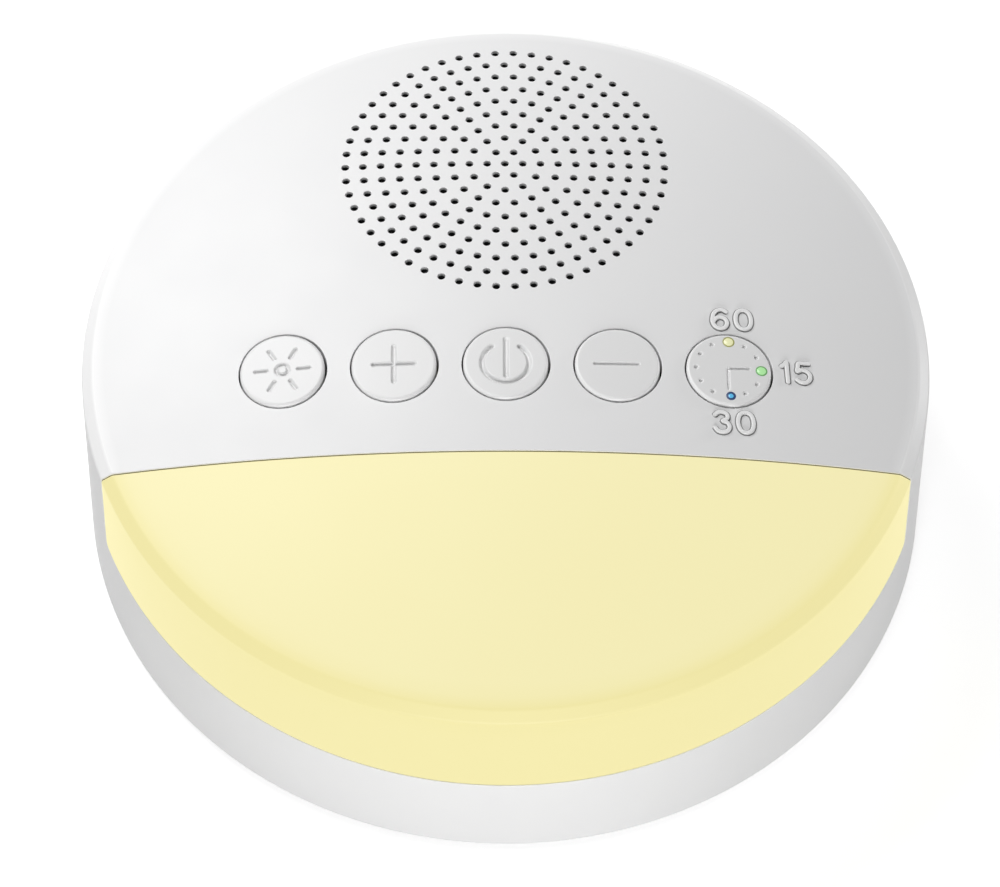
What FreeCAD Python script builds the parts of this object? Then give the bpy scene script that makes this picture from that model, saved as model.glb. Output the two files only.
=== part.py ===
import FreeCAD, Part
import math
import os

from FreeCAD import Vector

os.makedirs("parts", exist_ok=True)

# White noise sound machine: a low round puck with a domed top, in millimetres.
# The origin is on the table, under the middle of the body, with +Z up.
# The night light faces -Y, and the charging socket is in the wall on the +Y side.

# Casing
BODY_DIAMETER = 120.0
OVERALL_HEIGHT = 40.9
WALL = 2.0
DOME_RADIUS = 262.5
BEVEL_WIDTH = 1.5
BEVEL_DROP = 1.4
FUSE_DEPTH = 0.4
DOME_PATCH_STEPS = 4
DOME_PATCH_REACH = 1.2

# Night light lens, let into the front of the dome and wall
LENS_SILL_ABOVE_WALL_FOOT = 15.8
LENS_GAP = 0.1
LENS_LIP = 2.6
LENS_LIP_THICKNESS = 1.2
LENS_LIP_PLAY = 0.1
LENS_ROOT = 2.5

# Bottom cover, feet and the four screws that close the casing
COVER_PLAY = 0.3
COVER_THICKNESS = 2.0
COVER_RECESS = 0.6
FOOT_DIAMETER = 9.0
FOOT_PROUD = 1.0
FOOT_POCKET = 0.5
FOOT_PLAY = 0.1
FOOT_INSET = 10.0
BOSS_INSET = 8.0
BOSS_RADIUS = 3.4
BOSS_RIB = 1.6
PAD_RADIUS = 4.2
PAD_HEIGHT = 2.0
HEAD_RECESS = 2.4

# Screws
SCREW_RADIUS = 1.2
SCREW_PLAY = 0.15
SCREW_HEAD_RADIUS = 2.4
SCREW_HEAD_HEIGHT = 1.6
WASHER_HEAD_RADIUS = 4.4
HOUSING_SCREW_BITE = 7.0
SMALL_SCREW_BITE = 4.0
PILOT_SPARE = 1.0

# Loudspeaker and its grille
SPEAKER_RADIUS = 25.0
SPEAKER_TO_WALL = 2.0
SPEAKER_UNDER_DOME = 0.8
SPEAKER_SCREW_GAP = 3.2
RIM_WIDTH = 3.5
RIM_THICKNESS = 1.0
GASKET_THICKNESS = 1.0
GASKET_WIDTH = 1.8
SEAT_RIB_WIDTH = 1.8
BASKET_DEPTH = 8.0
BASKET_FLOOR_RADIUS = 15.5
BASKET_WALL = 1.0
PLATE_RADIUS = 13.0
PLATE_THICKNESS = 2.0
MAGNET_RADIUS = 14.0
MAGNET_THICKNESS = 4.5
MAGNET_BORE = 8.0
YOKE_THICKNESS = 2.0
POLE_RADIUS = 5.6
COIL_GAP = 0.35
COIL_WALL = 0.35
COIL_LENGTH = 8.5
CONE_THICKNESS = 0.6
CONE_EDGE_INSET = 5.6
CONE_EDGE_LAND = 1.0
CONE_EDGE_SLOPE = 0.4
CONE_SLANT = 1.4
ROLL_HEIGHT = 1.8
SKIN = 0.4
SPIDER_RISE = 2.2
ROLL_OVERLAP = 1.2
ROLL_INSET = 0.4
ROLL_FLANK = 0.5
ROLL_FOOT = 0.1
SPIDER_FOOT = 1.5
SPIDER_LAND = 1.0
SPIDER_INSET = 1.0
CAP_RISE = 1.8
CAP_OVERLAP = 2.0
CAP_GLUE = 0.25
CAP_SHOULDER = 0.6
CAP_SHOULDER_RISE = 1.35
BASKET_WINDOW_WIDTH = 10.0
BASKET_WINDOW_EDGE = 1.2
BASKET_WINDOW_TURNS = [45, 135, 225, 315]
SPEAKER_SCREW_TURNS = [30, 150, 210, 330]
TERMINAL_WIDTH = 9.0
TERMINAL_LENGTH = 5.0
TERMINAL_OUTBOARD = 1.0
GRILLE_RINGS = 9
GRILLE_PITCH = 2.55
GRILLE_HOLE = 1.15
CLOTH_THICKNESS = 0.3
CLOTH_GAP = 0.1
CLOTH_MARGIN = 0.7

# Buttons in one row between the grille and the lens
BUTTON_NAMES = ["light", "volume_up", "power", "volume_down", "timer"]
BUTTON_DIAMETER = 12.2
BUTTON_LAND = 3.46
BUTTON_PROUD = 0.8
BUTTON_PLAY = 0.25
BUTTON_TRAVEL = 0.5
BUTTON_ROOF = 1.8
BUTTON_SKIRT = 0.8
ROW_BEHIND_SPEAKER = 11.5
LENS_AHEAD_OF_ROW = 14.15
COLLAR_WALL = 0.9
COLLAR_DEPTH = 1.3
LUG_REACH = 1.1
LUG_WIDTH = 3.0
LUG_THICKNESS = 1.1
LUG_PLAY = 0.1
POST_SIDE = 3.0
POST_LENGTH = 0.8
DOT_RING_RADIUS = 4.55
DOT_RADIUS = 0.6
DOT_PLAY = 0.05
DOT_TAIL = 1.2

# Push switches and the main board
SWITCH_SIDE = 6.0
SWITCH_BODY_HEIGHT = 3.4
SWITCH_HEIGHT = 5.0
PLUNGER_RADIUS = 1.7
PLUNGER_SINK = 0.4
PLUNGER_PLAY = 0.3
BOARD_THICKNESS = 1.6
BOARD_OVERHANG = 12.0
BOARD_FRONT = 10.0
BOARD_REAR = 10.5
BOARD_BOSS_RADIUS = 2.4
REAR_BOSS_BEHIND_ROW = 7.6
FRONT_BOSS_AHEAD_OF_ROW = 7.2
FRONT_BOSS_OUTBOARD = 8.8
LED_WIDTH = 0.8
LED_HEIGHT = 0.7
CHIP_HEIGHT = 1.6
CHIP_WIDTH = 4.9
CHIP_LENGTH = 3.9
CONTROLLER_SIDE = 7.0
CONTROLLER_SLOT = -0.5
CHIP_SLOTS = [0.5, 1.5]
CAPACITOR_RADIUS = 2.5
CAPACITOR_HEIGHT = 5.2
CAPACITOR_AHEAD_OF_ROW = 6.6
CAPACITOR_XS = [-24.0, 0.0]
CONNECTOR_WIDTH = 5.4
CONNECTOR_LENGTH = 4.0
CONNECTOR_HEIGHT = 3.6
LEAD_ENTRY_HEIGHT = 1.2

# Night light inside the lens
LIGHT_BOARD_WIDTH = 56.0
LIGHT_BOARD_LENGTH = 13.0
LIGHT_BOARD_THICKNESS = 1.2
LIGHT_BOARD_BELOW_SILL = 3.4
LIGHT_BOARD_INSET = 4.5
LIGHT_LED_COLUMNS = 5
LIGHT_LED_ROWS = 2
LIGHT_LED_SIDE = 3.0
LIGHT_LED_HEIGHT = 1.4
LIGHT_LED_PITCH = 8.0
LIGHT_LED_PLAY = 0.3
REFLECTOR_THICKNESS = 0.8
REFLECTOR_PLAY = 0.7
REFLECTOR_LEG = 1.8
REFLECTOR_LEG_SIDE = 2.0
REFLECTOR_LEG_INSET = 1.5
POST_RADIUS = 2.6

# Battery
CELL_RADIUS = 9.1
CELL_LENGTH = 65.0
CELL_PLAY = 0.2
CELL_NUB_RADIUS = 2.8
CELL_NUB = 1.0
HOLDER_WALL = 1.4
HOLDER_HEIGHT = 12.0
HOLDER_BEHIND_LENS = 3.0
CONTACT_THICKNESS = 0.6
CONTACT_ROOM = 2.4
CONTACT_WIDTH = 9.0
BOW_SIDE = 4.4

# Charging board and socket in the back wall
SOCKET_WIDTH = 8.94
SOCKET_HEIGHT = 3.26
SOCKET_LENGTH = 7.6
SOCKET_SKIN = 0.3
SOCKET_MOUTH_DEPTH = 6.2
SOCKET_PLAY = 0.35
SOCKET_BELOW_FACE = 1.2
TONGUE_WIDTH = 6.7
TONGUE_THICKNESS = 0.7
TONGUE_LENGTH = 5.0
CHARGE_BOARD_WIDTH = 20.0
CHARGE_BOARD_LENGTH = 17.0
CHARGE_BOARD_THICKNESS = 1.2
CHARGE_BOARD_TO_WALL = 2.0
CHARGE_POST_HEIGHT = 2.4
CHARGE_SCREW_INSET = 2.8
CHARGE_PART_INSET = 2.4
CHARGE_PART_FROM_REAR = 5.0
CHARGE_PART_WIDTH = 3.0
CHARGE_PART_LENGTH = 4.0
CHARGE_CHIP_HEIGHT = 1.5
CHARGE_COIL_HEIGHT = 2.5

# Flat two-core leads inside the casing
LEAD_WIDTH = 2.4
LEAD_HEIGHT = 1.2
LEAD_BEND = 2.4
LEAD_STUB = 0.4
SPEAKER_LEAD_X = -8.0
CHARGE_LEAD_X = 0.0
LEAD_LANDING = 0.8
LIGHT_LEAD_OFFSET = 1.0
BATTERY_LEAD_STUB = 1.0

# Sides of the small and hidden round pieces
HOLE_SIDES = 5
SCREW_SIDES = 6
HEAD_SIDES = 8
BOSS_SIDES = 8
RING_SIDES = 16
POCKET_SIDES = 12

# Radii and heights that follow from the sizes above
body_r = BODY_DIAMETER / 2
inner_r = body_r - WALL
dome_centre_z = OVERALL_HEIGHT - DOME_RADIUS
wall_foot_z = FOOT_PROUD
far = BODY_DIAMETER


def dome_z(x, y, depth=0.0):
    """Height of the dome, or of the face `depth` under it, above a point of the table."""
    return dome_centre_z + math.sqrt((DOME_RADIUS - depth) ** 2 - x * x - y * y)


rim_inner_z = dome_z(body_r - BEVEL_WIDTH, 0)
rim_outer_z = rim_inner_z - BEVEL_DROP
sill_z = wall_foot_z + LENS_SILL_ABOVE_WALL_FOOT

# Places in plan
speaker_y = inner_r - SPEAKER_TO_WALL - SPEAKER_RADIUS
row_y = speaker_y - SPEAKER_RADIUS - ROW_BEHIND_SPEAKER
lens_y = row_y - LENS_AHEAD_OF_ROW
button_r = BUTTON_DIAMETER / 2
button_pitch = BUTTON_DIAMETER + BUTTON_LAND
button_xs = [(i - (len(BUTTON_NAMES) - 1) / 2) * button_pitch for i in range(len(BUTTON_NAMES))]
outer_button_x = button_xs[-1]
lip_r = inner_r - LENS_LIP_PLAY - LENS_LIP_THICKNESS

# Bottom cover and the screw stacks that stand on it
cover_z = wall_foot_z + COVER_RECESS
floor_z = cover_z + COVER_THICKNESS
pad_z = floor_z + PAD_HEIGHT
head_seat_z = cover_z + HEAD_RECESS
foot_r = FOOT_DIAMETER / 2
boss_ring = inner_r - BOSS_INSET
boss_places = [(boss_ring * math.cos(a), boss_ring * math.sin(a))
               for a in [math.radians(45 + 90 * i) for i in range(4)]]
foot_places = [((inner_r - FOOT_INSET) * math.cos(a), (inner_r - FOOT_INSET) * math.sin(a))
               for a in [math.radians(90 * i) for i in range(4)]]

# Buttons, switches and main board, stacked down from the dome
collar_r = button_r + BUTTON_PLAY + COLLAR_WALL
collar_z = dome_z(outer_button_x + collar_r, row_y, WALL) - COLLAR_DEPTH
lug_z = collar_z - LUG_PLAY
cap_bottom_z = lug_z - LUG_THICKNESS
plunger_top_z = cap_bottom_z - POST_LENGTH
board_z = plunger_top_z - SWITCH_HEIGHT
board_under_z = board_z - BOARD_THICKNESS
switch_top_z = board_z + SWITCH_BODY_HEIGHT
board_half_x = outer_button_x + BOARD_OVERHANG
board_front_y = row_y - BOARD_FRONT
board_rear_y = row_y + BOARD_REAR
board_boss_places = [(button_pitch * 1.5, row_y + REAR_BOSS_BEHIND_ROW),
                     (-button_pitch * 1.5, row_y + REAR_BOSS_BEHIND_ROW),
                     (outer_button_x + FRONT_BOSS_OUTBOARD, row_y - FRONT_BOSS_AHEAD_OF_ROW),
                     (-outer_button_x - FRONT_BOSS_OUTBOARD, row_y - FRONT_BOSS_AHEAD_OF_ROW)]
entry_z = board_z + LEAD_ENTRY_HEIGHT

# Loudspeaker, stacked down from the dome
gasket_top_z = dome_z(0, speaker_y + SPEAKER_RADIUS, WALL) - SPEAKER_UNDER_DOME
rim_z = gasket_top_z - GASKET_THICKNESS
rim_under_z = rim_z - RIM_THICKNESS
basket_floor_z = rim_under_z - BASKET_DEPTH
plate_z = basket_floor_z - BASKET_WALL
magnet_z = plate_z - PLATE_THICKNESS
yoke_z = magnet_z - MAGNET_THICKNESS
yoke_under_z = yoke_z - YOKE_THICKNESS
coil_r = POLE_RADIUS + COIL_GAP
coil_outer_r = coil_r + COIL_WALL
plate_bore = coil_outer_r + COIL_GAP
speaker_screw_ring = SPEAKER_RADIUS + SPEAKER_SCREW_GAP
speaker_screw_places = [(speaker_screw_ring * math.cos(math.radians(a)),
                         speaker_y + speaker_screw_ring * math.sin(math.radians(a)))
                        for a in SPEAKER_SCREW_TURNS]

# Night light
light_board_z = sill_z - LIGHT_BOARD_BELOW_SILL
reflector_z = light_board_z + REFLECTOR_LEG
light_board_rear_y = lens_y - LIGHT_BOARD_INSET
light_board_y = light_board_rear_y - LIGHT_BOARD_LENGTH / 2
light_screw_places = [(side * (LIGHT_BOARD_WIDTH / 2 - POST_RADIUS), light_board_y) for side in (-1, 1)]
light_leds = [((c - (LIGHT_LED_COLUMNS - 1) / 2) * LIGHT_LED_PITCH,
               light_board_y + (r - (LIGHT_LED_ROWS - 1) / 2) * LIGHT_LED_PITCH)
              for c in range(LIGHT_LED_COLUMNS) for r in range(LIGHT_LED_ROWS)]

# Battery, lying across the body behind the lens
holder_half_y = CELL_RADIUS + CELL_PLAY + HOLDER_WALL
holder_half_x = CELL_LENGTH / 2 + CELL_NUB + CONTACT_ROOM + HOLDER_WALL
cell_y = lens_y + HOLDER_BEHIND_LENS + holder_half_y
cell_z = floor_z + HOLDER_WALL + CELL_PLAY + CELL_RADIUS

# Charging board
charge_board_z = floor_z + CHARGE_POST_HEIGHT + CHARGE_BOARD_THICKNESS
charge_rear_y = inner_r - CHARGE_BOARD_TO_WALL
charge_front_y = charge_rear_y - CHARGE_BOARD_LENGTH
socket_z = charge_board_z + SOCKET_HEIGHT / 2
socket_mouth_y = body_r - SOCKET_BELOW_FACE
charge_screw_places = [(side * (CHARGE_BOARD_WIDTH / 2 - CHARGE_SCREW_INSET),
                        charge_front_y + CHARGE_SCREW_INSET) for side in (-1, 1)]


def save(name, solids):
    """Write one sub-part, a solid or a group of separate solids, to its own file."""
    shape = solids if isinstance(solids, Part.Shape) else Part.makeCompound(solids)
    shape.exportStep("parts/" + name + ".step")


def one_solid(shape):
    """The single solid in a fused or cut shape, with its joined faces merged."""
    shape = shape.removeSplitter()
    if len(shape.Solids) != 1:
        raise ValueError("expected one solid, found " + str(len(shape.Solids)))
    return shape.Solids[0]


def block(x0, x1, y0, y1, z0, z1):
    """Block between two opposite corners."""
    return Part.makeBox(x1 - x0, y1 - y0, z1 - z0, Vector(x0, y0, z0))


def centred_block(x, y, width, length, z0, z1):
    """Block centred on a point of the plan."""
    return block(x - width / 2, x + width / 2, y - length / 2, y + length / 2, z0, z1)


def disc(radius, z0, z1, x=0.0, y=0.0):
    """Upright round bar."""
    return Part.makeCylinder(radius, z1 - z0, Vector(x, y, z0))


def prism(radius, z0, z1, x, y, sides):
    """Upright bar with flat sides, its corners on a circle."""
    corners = [Vector(x + radius * math.cos(2 * math.pi * k / sides),
                      y + radius * math.sin(2 * math.pi * k / sides), z0) for k in range(sides)]
    face = Part.Face(Part.makePolygon(corners + corners[:1]))
    return face.extrude(Vector(0, 0, z1 - z0))


def turned(profile, x, y, sides=RING_SIDES):
    """Closed (radius, height) profile carried round an upright axis in flat-sided steps."""
    faces = []
    for (r0, z0), (r1, z1) in zip(profile, profile[1:] + profile[:1]):
        for k in range(sides):
            a, b = 2 * math.pi * k / sides, 2 * math.pi * (k + 1) / sides
            ring = [(r0, z0, a), (r0, z0, b), (r1, z1, b), (r1, z1, a)]
            corners = []
            for r, z, t in ring:
                point = Vector(x + r * math.cos(t), y + r * math.sin(t), z)
                if not any(point.distanceToPoint(c) < 1e-6 for c in corners):
                    corners.append(point)
            if len(corners) > 2:
                faces.append(Part.Face(Part.makePolygon(corners + corners[:1])))
    solid = Part.Solid(Part.makeShell(faces))
    if solid.Volume < 0:
        solid.reverse()
    return solid


def ring(outer, inner, z0, z1, x, y):
    """Flat ring with upright sides."""
    return turned([(outer, z0), (outer, z1), (inner, z1), (inner, z0)], x, y)


def dome_ball(depth):
    """Ball whose upper face is the dome, or the face `depth` under it. Its poles lie far out along Y."""
    return Part.makeSphere(DOME_RADIUS - depth, Vector(0, 0, dome_centre_z), Vector(0, 1, 0))


def dome_patch(depth):
    """The same face as one smooth patch with a block under it, which takes many small holes well."""
    reach = body_r * DOME_PATCH_REACH
    steps = [-reach + 2 * reach * i / DOME_PATCH_STEPS for i in range(DOME_PATCH_STEPS + 1)]
    patch = Part.BSplineSurface()
    patch.interpolate([[Vector(x, y, dome_z(x, y, depth)) for y in steps] for x in steps])
    return patch.toShape().extrude(Vector(0, 0, -2 * OVERALL_HEIGHT))


def under_dome(depth, dome=dome_ball):
    """Solid that fills the casing up to the face `depth` inside its outer surface."""
    return disc(body_r - depth, wall_foot_z, OVERALL_HEIGHT + WALL).common(dome(depth))


def outer_form(dome):
    """Outside of the closed casing: upright wall, bevelled rim and dome."""
    top_z = OVERALL_HEIGHT + WALL
    slope_r = body_r - (top_z - rim_outer_z) * BEVEL_WIDTH / BEVEL_DROP
    points = [Vector(0, 0, wall_foot_z), Vector(body_r, 0, wall_foot_z), Vector(body_r, 0, rim_outer_z),
              Vector(slope_r, 0, top_z), Vector(0, 0, top_z)]
    blank = Part.Face(Part.makePolygon(points + points[:1])).revolve(Vector(0, 0, 0), Vector(0, 0, 1), 360)
    return blank.common(dome(0))


def casing_wall(dome):
    """The whole casing's hollow form, open at the foot."""
    return outer_form(dome).cut(under_dome(WALL, dome))


def lens_room(gap):
    """Space over the sill and ahead of the lens edge."""
    return block(-far, far, -far, lens_y - gap, sill_z + gap, OVERALL_HEIGHT + WALL)


def round_boss(x, y, z0, radius, bite):
    """Screw boss that hangs from the dome, with its pilot hole from below."""
    top_z = dome_z(x, y, WALL / 2)
    body = prism(radius, z0, top_z, x, y, BOSS_SIDES)
    pilot_r = SCREW_RADIUS + SCREW_PLAY
    return body, prism(pilot_r, z0 - 1, z0 + bite + PILOT_SPARE, x, y, SCREW_SIDES)


def closing_boss(x, y):
    """Boss for a casing screw, tied to the side wall by a rib; it stops short under the lens."""
    under_lens = y < lens_y
    top_z = sill_z - LENS_LIP - COVER_PLAY if under_lens else dome_z(x, y, WALL / 2)
    body = prism(BOSS_RADIUS, pad_z, top_z, x, y, BOSS_SIDES)
    rib_top_z = top_z - WALL if under_lens else dome_z(inner_r, 0, WALL) - WALL
    rib = block(0, inner_r - boss_ring + FUSE_DEPTH, -BOSS_RIB / 2, BOSS_RIB / 2, pad_z, rib_top_z)
    rib.rotate(Vector(0, 0, 0), Vector(0, 0, 1), math.degrees(math.atan2(y, x)))
    rib.translate(Vector(x, y, 0))
    pilot_r = SCREW_RADIUS + SCREW_PLAY
    pilot_top_z = head_seat_z + HOUSING_SCREW_BITE + PILOT_SPARE
    return body.fuse(rib), prism(pilot_r, pad_z - 1, pilot_top_z, x, y, SCREW_SIDES)


def grille_holes():
    """Rings of small holes round a middle hole, six more in each ring than in the last."""
    holes = []
    steps = [(0, 0)] + [(n, k) for n in range(1, GRILLE_RINGS + 1) for k in range(6 * n)]
    area_of_unit_polygon = HOLE_SIDES / 2 * math.sin(2 * math.pi / HOLE_SIDES)
    corner_r = GRILLE_HOLE / 2 * math.sqrt(math.pi / area_of_unit_polygon)
    for n, k in steps:
        angle = 2 * math.pi * k / (6 * n) if n else 0.0
        x = n * GRILLE_PITCH * math.cos(angle)
        y = speaker_y + n * GRILLE_PITCH * math.sin(angle)
        holes.append(prism(corner_r, dome_z(x, y, WALL) - WALL, dome_z(x, y) + WALL, x, y, HOLE_SIDES))
    return holes


def socket_form(grow, y0, y1):
    """Slot with round ends, the section of the charging socket, run along Y."""
    radius = SOCKET_HEIGHT / 2 + grow
    half = SOCKET_WIDTH / 2 - SOCKET_HEIGHT / 2
    ends = [Part.makeCylinder(radius, y1 - y0, Vector(side * half, y0, socket_z), Vector(0, 1, 0))
            for side in (-1, 1)]
    return block(-half, half, y0, y1, socket_z - radius, socket_z + radius).multiFuse(ends).removeSplitter()


def main_shell():
    """Domed casing: top, side wall and front band in one moulding."""
    shell = casing_wall(dome_patch).cut(lens_room(0))
    fuse_zone = under_dome(WALL - FUSE_DEPTH)
    seat = ring(SPEAKER_RADIUS, SPEAKER_RADIUS - SEAT_RIB_WIDTH, gasket_top_z, OVERALL_HEIGHT, 0, speaker_y)
    collars = [prism(collar_r, collar_z, OVERALL_HEIGHT, x, row_y, RING_SIDES) for x in button_xs]
    closing = [closing_boss(x, y) for x, y in boss_places]
    hanging = [round_boss(x, y, board_z, BOARD_BOSS_RADIUS, SMALL_SCREW_BITE) for x, y in board_boss_places]
    hanging += [round_boss(x, y, rim_under_z + COVER_PLAY, BOARD_BOSS_RADIUS, SMALL_SCREW_BITE)
                for x, y in speaker_screw_places]
    added = [piece.common(fuse_zone) for piece in [seat] + collars + [b for b, _ in closing + hanging]]
    bores = [disc(button_r + BUTTON_PLAY, collar_z - 1, OVERALL_HEIGHT + WALL, x, row_y) for x in button_xs]
    bores += [pilot for _, pilot in closing + hanging]
    bores += [socket_form(SOCKET_PLAY, inner_r - 2 * WALL, body_r + WALL)]
    shell = one_solid(shell.multiFuse(added).cut(bores))
    return one_solid(shell.cut(grille_holes()))


def light_lens():
    """Translucent D-shaped lens with a lip under the dome and another behind the front band."""
    lens = casing_wall(dome_ball).common(lens_room(LENS_GAP))
    top_layer = under_dome(WALL + LENS_LIP_PLAY).cut(under_dome(WALL + LENS_LIP_PLAY + LENS_LIP_THICKNESS))
    root_layer = under_dome(WALL - FUSE_DEPTH).cut(under_dome(WALL + LENS_LIP_PLAY + LENS_LIP_THICKNESS))
    sight_y = lens_y - LENS_GAP
    lip_room = block(-far, far, sight_y - LENS_ROOT, lens_y + LENS_LIP,
                     rim_outer_z - WALL, OVERALL_HEIGHT)
    root_room = block(-far, far, sight_y - LENS_ROOT, sight_y, rim_outer_z - WALL, OVERALL_HEIGHT)
    skirt_room = block(-far, far, -far, sight_y, sill_z - LENS_LIP, sill_z + LENS_ROOT)
    skirt_root_room = block(-far, far, -far, sight_y, sill_z + LENS_GAP, sill_z + LENS_ROOT)
    pieces = [top_layer.common(lip_room), root_layer.common(root_room),
              top_layer.common(skirt_room), root_layer.common(skirt_root_room)]
    return one_solid(lens.multiFuse(pieces))


def bottom_cover():
    """Flat cover with screw pads, foot pockets and posts for the two small boards."""
    cover = disc(inner_r - COVER_PLAY, cover_z, floor_z)
    light_post_z = light_board_z - LIGHT_BOARD_THICKNESS
    charge_post_z = charge_board_z - CHARGE_BOARD_THICKNESS
    added = [prism(PAD_RADIUS, floor_z, pad_z, x, y, POCKET_SIDES) for x, y in boss_places]
    added += [prism(POST_RADIUS, floor_z, light_post_z, x, y, BOSS_SIDES) for x, y in light_screw_places]
    added += [prism(POST_RADIUS, floor_z, charge_post_z, x, y, BOSS_SIDES) for x, y in charge_screw_places]
    shank_r = SCREW_RADIUS + SCREW_PLAY
    head_r = SCREW_HEAD_RADIUS + 2 * SCREW_PLAY
    bores = [prism(shank_r, cover_z, pad_z, x, y, SCREW_SIDES) for x, y in boss_places]
    bores += [prism(head_r, cover_z, head_seat_z, x, y, POCKET_SIDES) for x, y in boss_places]
    bores += [prism(foot_r + FOOT_PLAY, cover_z, cover_z + FOOT_POCKET, x, y, RING_SIDES)
              for x, y in foot_places]
    bores += [prism(shank_r, light_post_z - SMALL_SCREW_BITE - PILOT_SPARE, light_post_z, x, y, SCREW_SIDES)
              for x, y in light_screw_places]
    bores += [prism(shank_r, floor_z, charge_post_z, x, y, SCREW_SIDES) for x, y in charge_screw_places]
    return one_solid(cover.multiFuse(added).cut(bores))


def screw(x, y, seat_z, direction, length, head_radius=SCREW_HEAD_RADIUS):
    """Plain screw whose head bears on a seat and whose shank runs up (1) or down (-1) from it."""
    head_end = seat_z - direction * SCREW_HEAD_HEIGHT
    shank_end = seat_z + direction * length
    head = prism(head_radius, min(seat_z, head_end), max(seat_z, head_end), x, y, HEAD_SIDES)
    shank = prism(SCREW_RADIUS, min(seat_z, shank_end), max(seat_z, shank_end), x, y, SCREW_SIDES)
    return one_solid(head.fuse(shank))


def button_cap(x):
    """Push button: a domed cap with a hollow skirt, a middle post and three stop lugs."""
    cap = disc(button_r, cap_bottom_z, OVERALL_HEIGHT + WALL, x, row_y).common(dome_ball(-BUTTON_PROUD))
    roof_z = dome_z(abs(x), row_y, -BUTTON_PROUD) - BUTTON_ROOF
    pocket = prism(button_r - BUTTON_SKIRT, cap_bottom_z, roof_z, x, row_y, POCKET_SIDES)
    post = centred_block(x, row_y, POST_SIDE, POST_SIDE, plunger_top_z, roof_z + BUTTON_ROOF / 2)
    lugs = []
    for turn in (90, 210, 330):
        lug = block(button_r - BUTTON_SKIRT / 2, button_r + LUG_REACH, -LUG_WIDTH / 2, LUG_WIDTH / 2,
                    cap_bottom_z, lug_z)
        lug.rotate(Vector(0, 0, 0), Vector(0, 0, 1), turn)
        lug.translate(Vector(x, row_y, 0))
        lugs.append(lug)
    return one_solid(cap.cut(pocket).multiFuse([post] + lugs))


def dot_places():
    """Places of the three coloured dots, at 12, 3 and 6 o'clock on the timer button."""
    return [(outer_button_x + DOT_RING_RADIUS * math.cos(math.radians(a)),
             row_y + DOT_RING_RADIUS * math.sin(math.radians(a))) for a in (90, 0, 270)]


def timer_light_pipes():
    """Three clear pins that carry the light of the small lamps up through the timer button."""
    pins = [prism(DOT_RADIUS, cap_bottom_z - DOT_TAIL, OVERALL_HEIGHT + WALL, x, y, BOSS_SIDES)
            for x, y in dot_places()]
    return [pin.common(dome_ball(-BUTTON_PROUD)).Solids[0] for pin in pins]


def timer_cap():
    """The timer button, with holes for its three light pipes."""
    bores = [prism(DOT_RADIUS + DOT_PLAY, cap_bottom_z - WALL, OVERALL_HEIGHT + WALL, x, y, BOSS_SIDES)
             for x, y in dot_places()]
    return one_solid(button_cap(outer_button_x).cut(bores))


def switch_body(x):
    """Square push switch with a well that its plunger sinks into."""
    body = centred_block(x, row_y, SWITCH_SIDE, SWITCH_SIDE, board_z, switch_top_z)
    well_z = switch_top_z - PLUNGER_SINK - BUTTON_TRAVEL - PLUNGER_PLAY
    return body.cut(prism(PLUNGER_RADIUS + PLUNGER_PLAY, well_z, switch_top_z, x, row_y, BOSS_SIDES))


def switch_plunger(x):
    """Plunger of one push switch, under the post of its button."""
    return prism(PLUNGER_RADIUS, switch_top_z - PLUNGER_SINK, plunger_top_z, x, row_y, BOSS_SIDES)


def main_board():
    """Long board under the buttons, screwed to four bosses of the casing."""
    board = block(-board_half_x, board_half_x, board_front_y, board_rear_y, board_under_z, board_z)
    hole_r = SCREW_RADIUS + SCREW_PLAY
    return board.cut([prism(hole_r, board_under_z, board_z, x, y, SCREW_SIDES) for x, y in board_boss_places])


def control_chips():
    """Controller, sound memory and amplifier, between the switches on the main board."""
    sizes = [(CONTROLLER_SLOT, CONTROLLER_SIDE, CONTROLLER_SIDE)]
    sizes += [(slot, CHIP_WIDTH, CHIP_LENGTH) for slot in CHIP_SLOTS]
    return [centred_block(slot * button_pitch, row_y, width, length, board_z, board_z + CHIP_HEIGHT)
            for slot, width, length in sizes]


def capacitors():
    """Two upright capacitors near the front edge of the main board."""
    return [prism(CAPACITOR_RADIUS, board_z, board_z + CAPACITOR_HEIGHT, x, row_y - CAPACITOR_AHEAD_OF_ROW,
                  POCKET_SIDES) for x in CAPACITOR_XS]


def connector(x, y, z):
    """Small white plug and header for a lead."""
    return centred_block(x, y, CONNECTOR_WIDTH, CONNECTOR_LENGTH, z, z + CONNECTOR_HEIGHT)


rear_connector_y = board_rear_y - CONNECTOR_LENGTH / 2
front_connector_y = row_y - BOARD_FRONT + CONNECTOR_LENGTH / 2
side_connector_x = board_half_x - CONNECTOR_WIDTH / 2
charge_connector_y = charge_front_y + CHARGE_SCREW_INSET


def lead_connectors():
    """Plugs of the four leads: three edges of the main board and the charging board."""
    return [connector(SPEAKER_LEAD_X, rear_connector_y, board_z),
            connector(CHARGE_LEAD_X, rear_connector_y, board_z),
            connector(button_pitch, front_connector_y, board_z),
            connector(side_connector_x, row_y + CONNECTOR_LENGTH, board_z),
            connector(CHARGE_LEAD_X, charge_connector_y, charge_board_z)]


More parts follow.
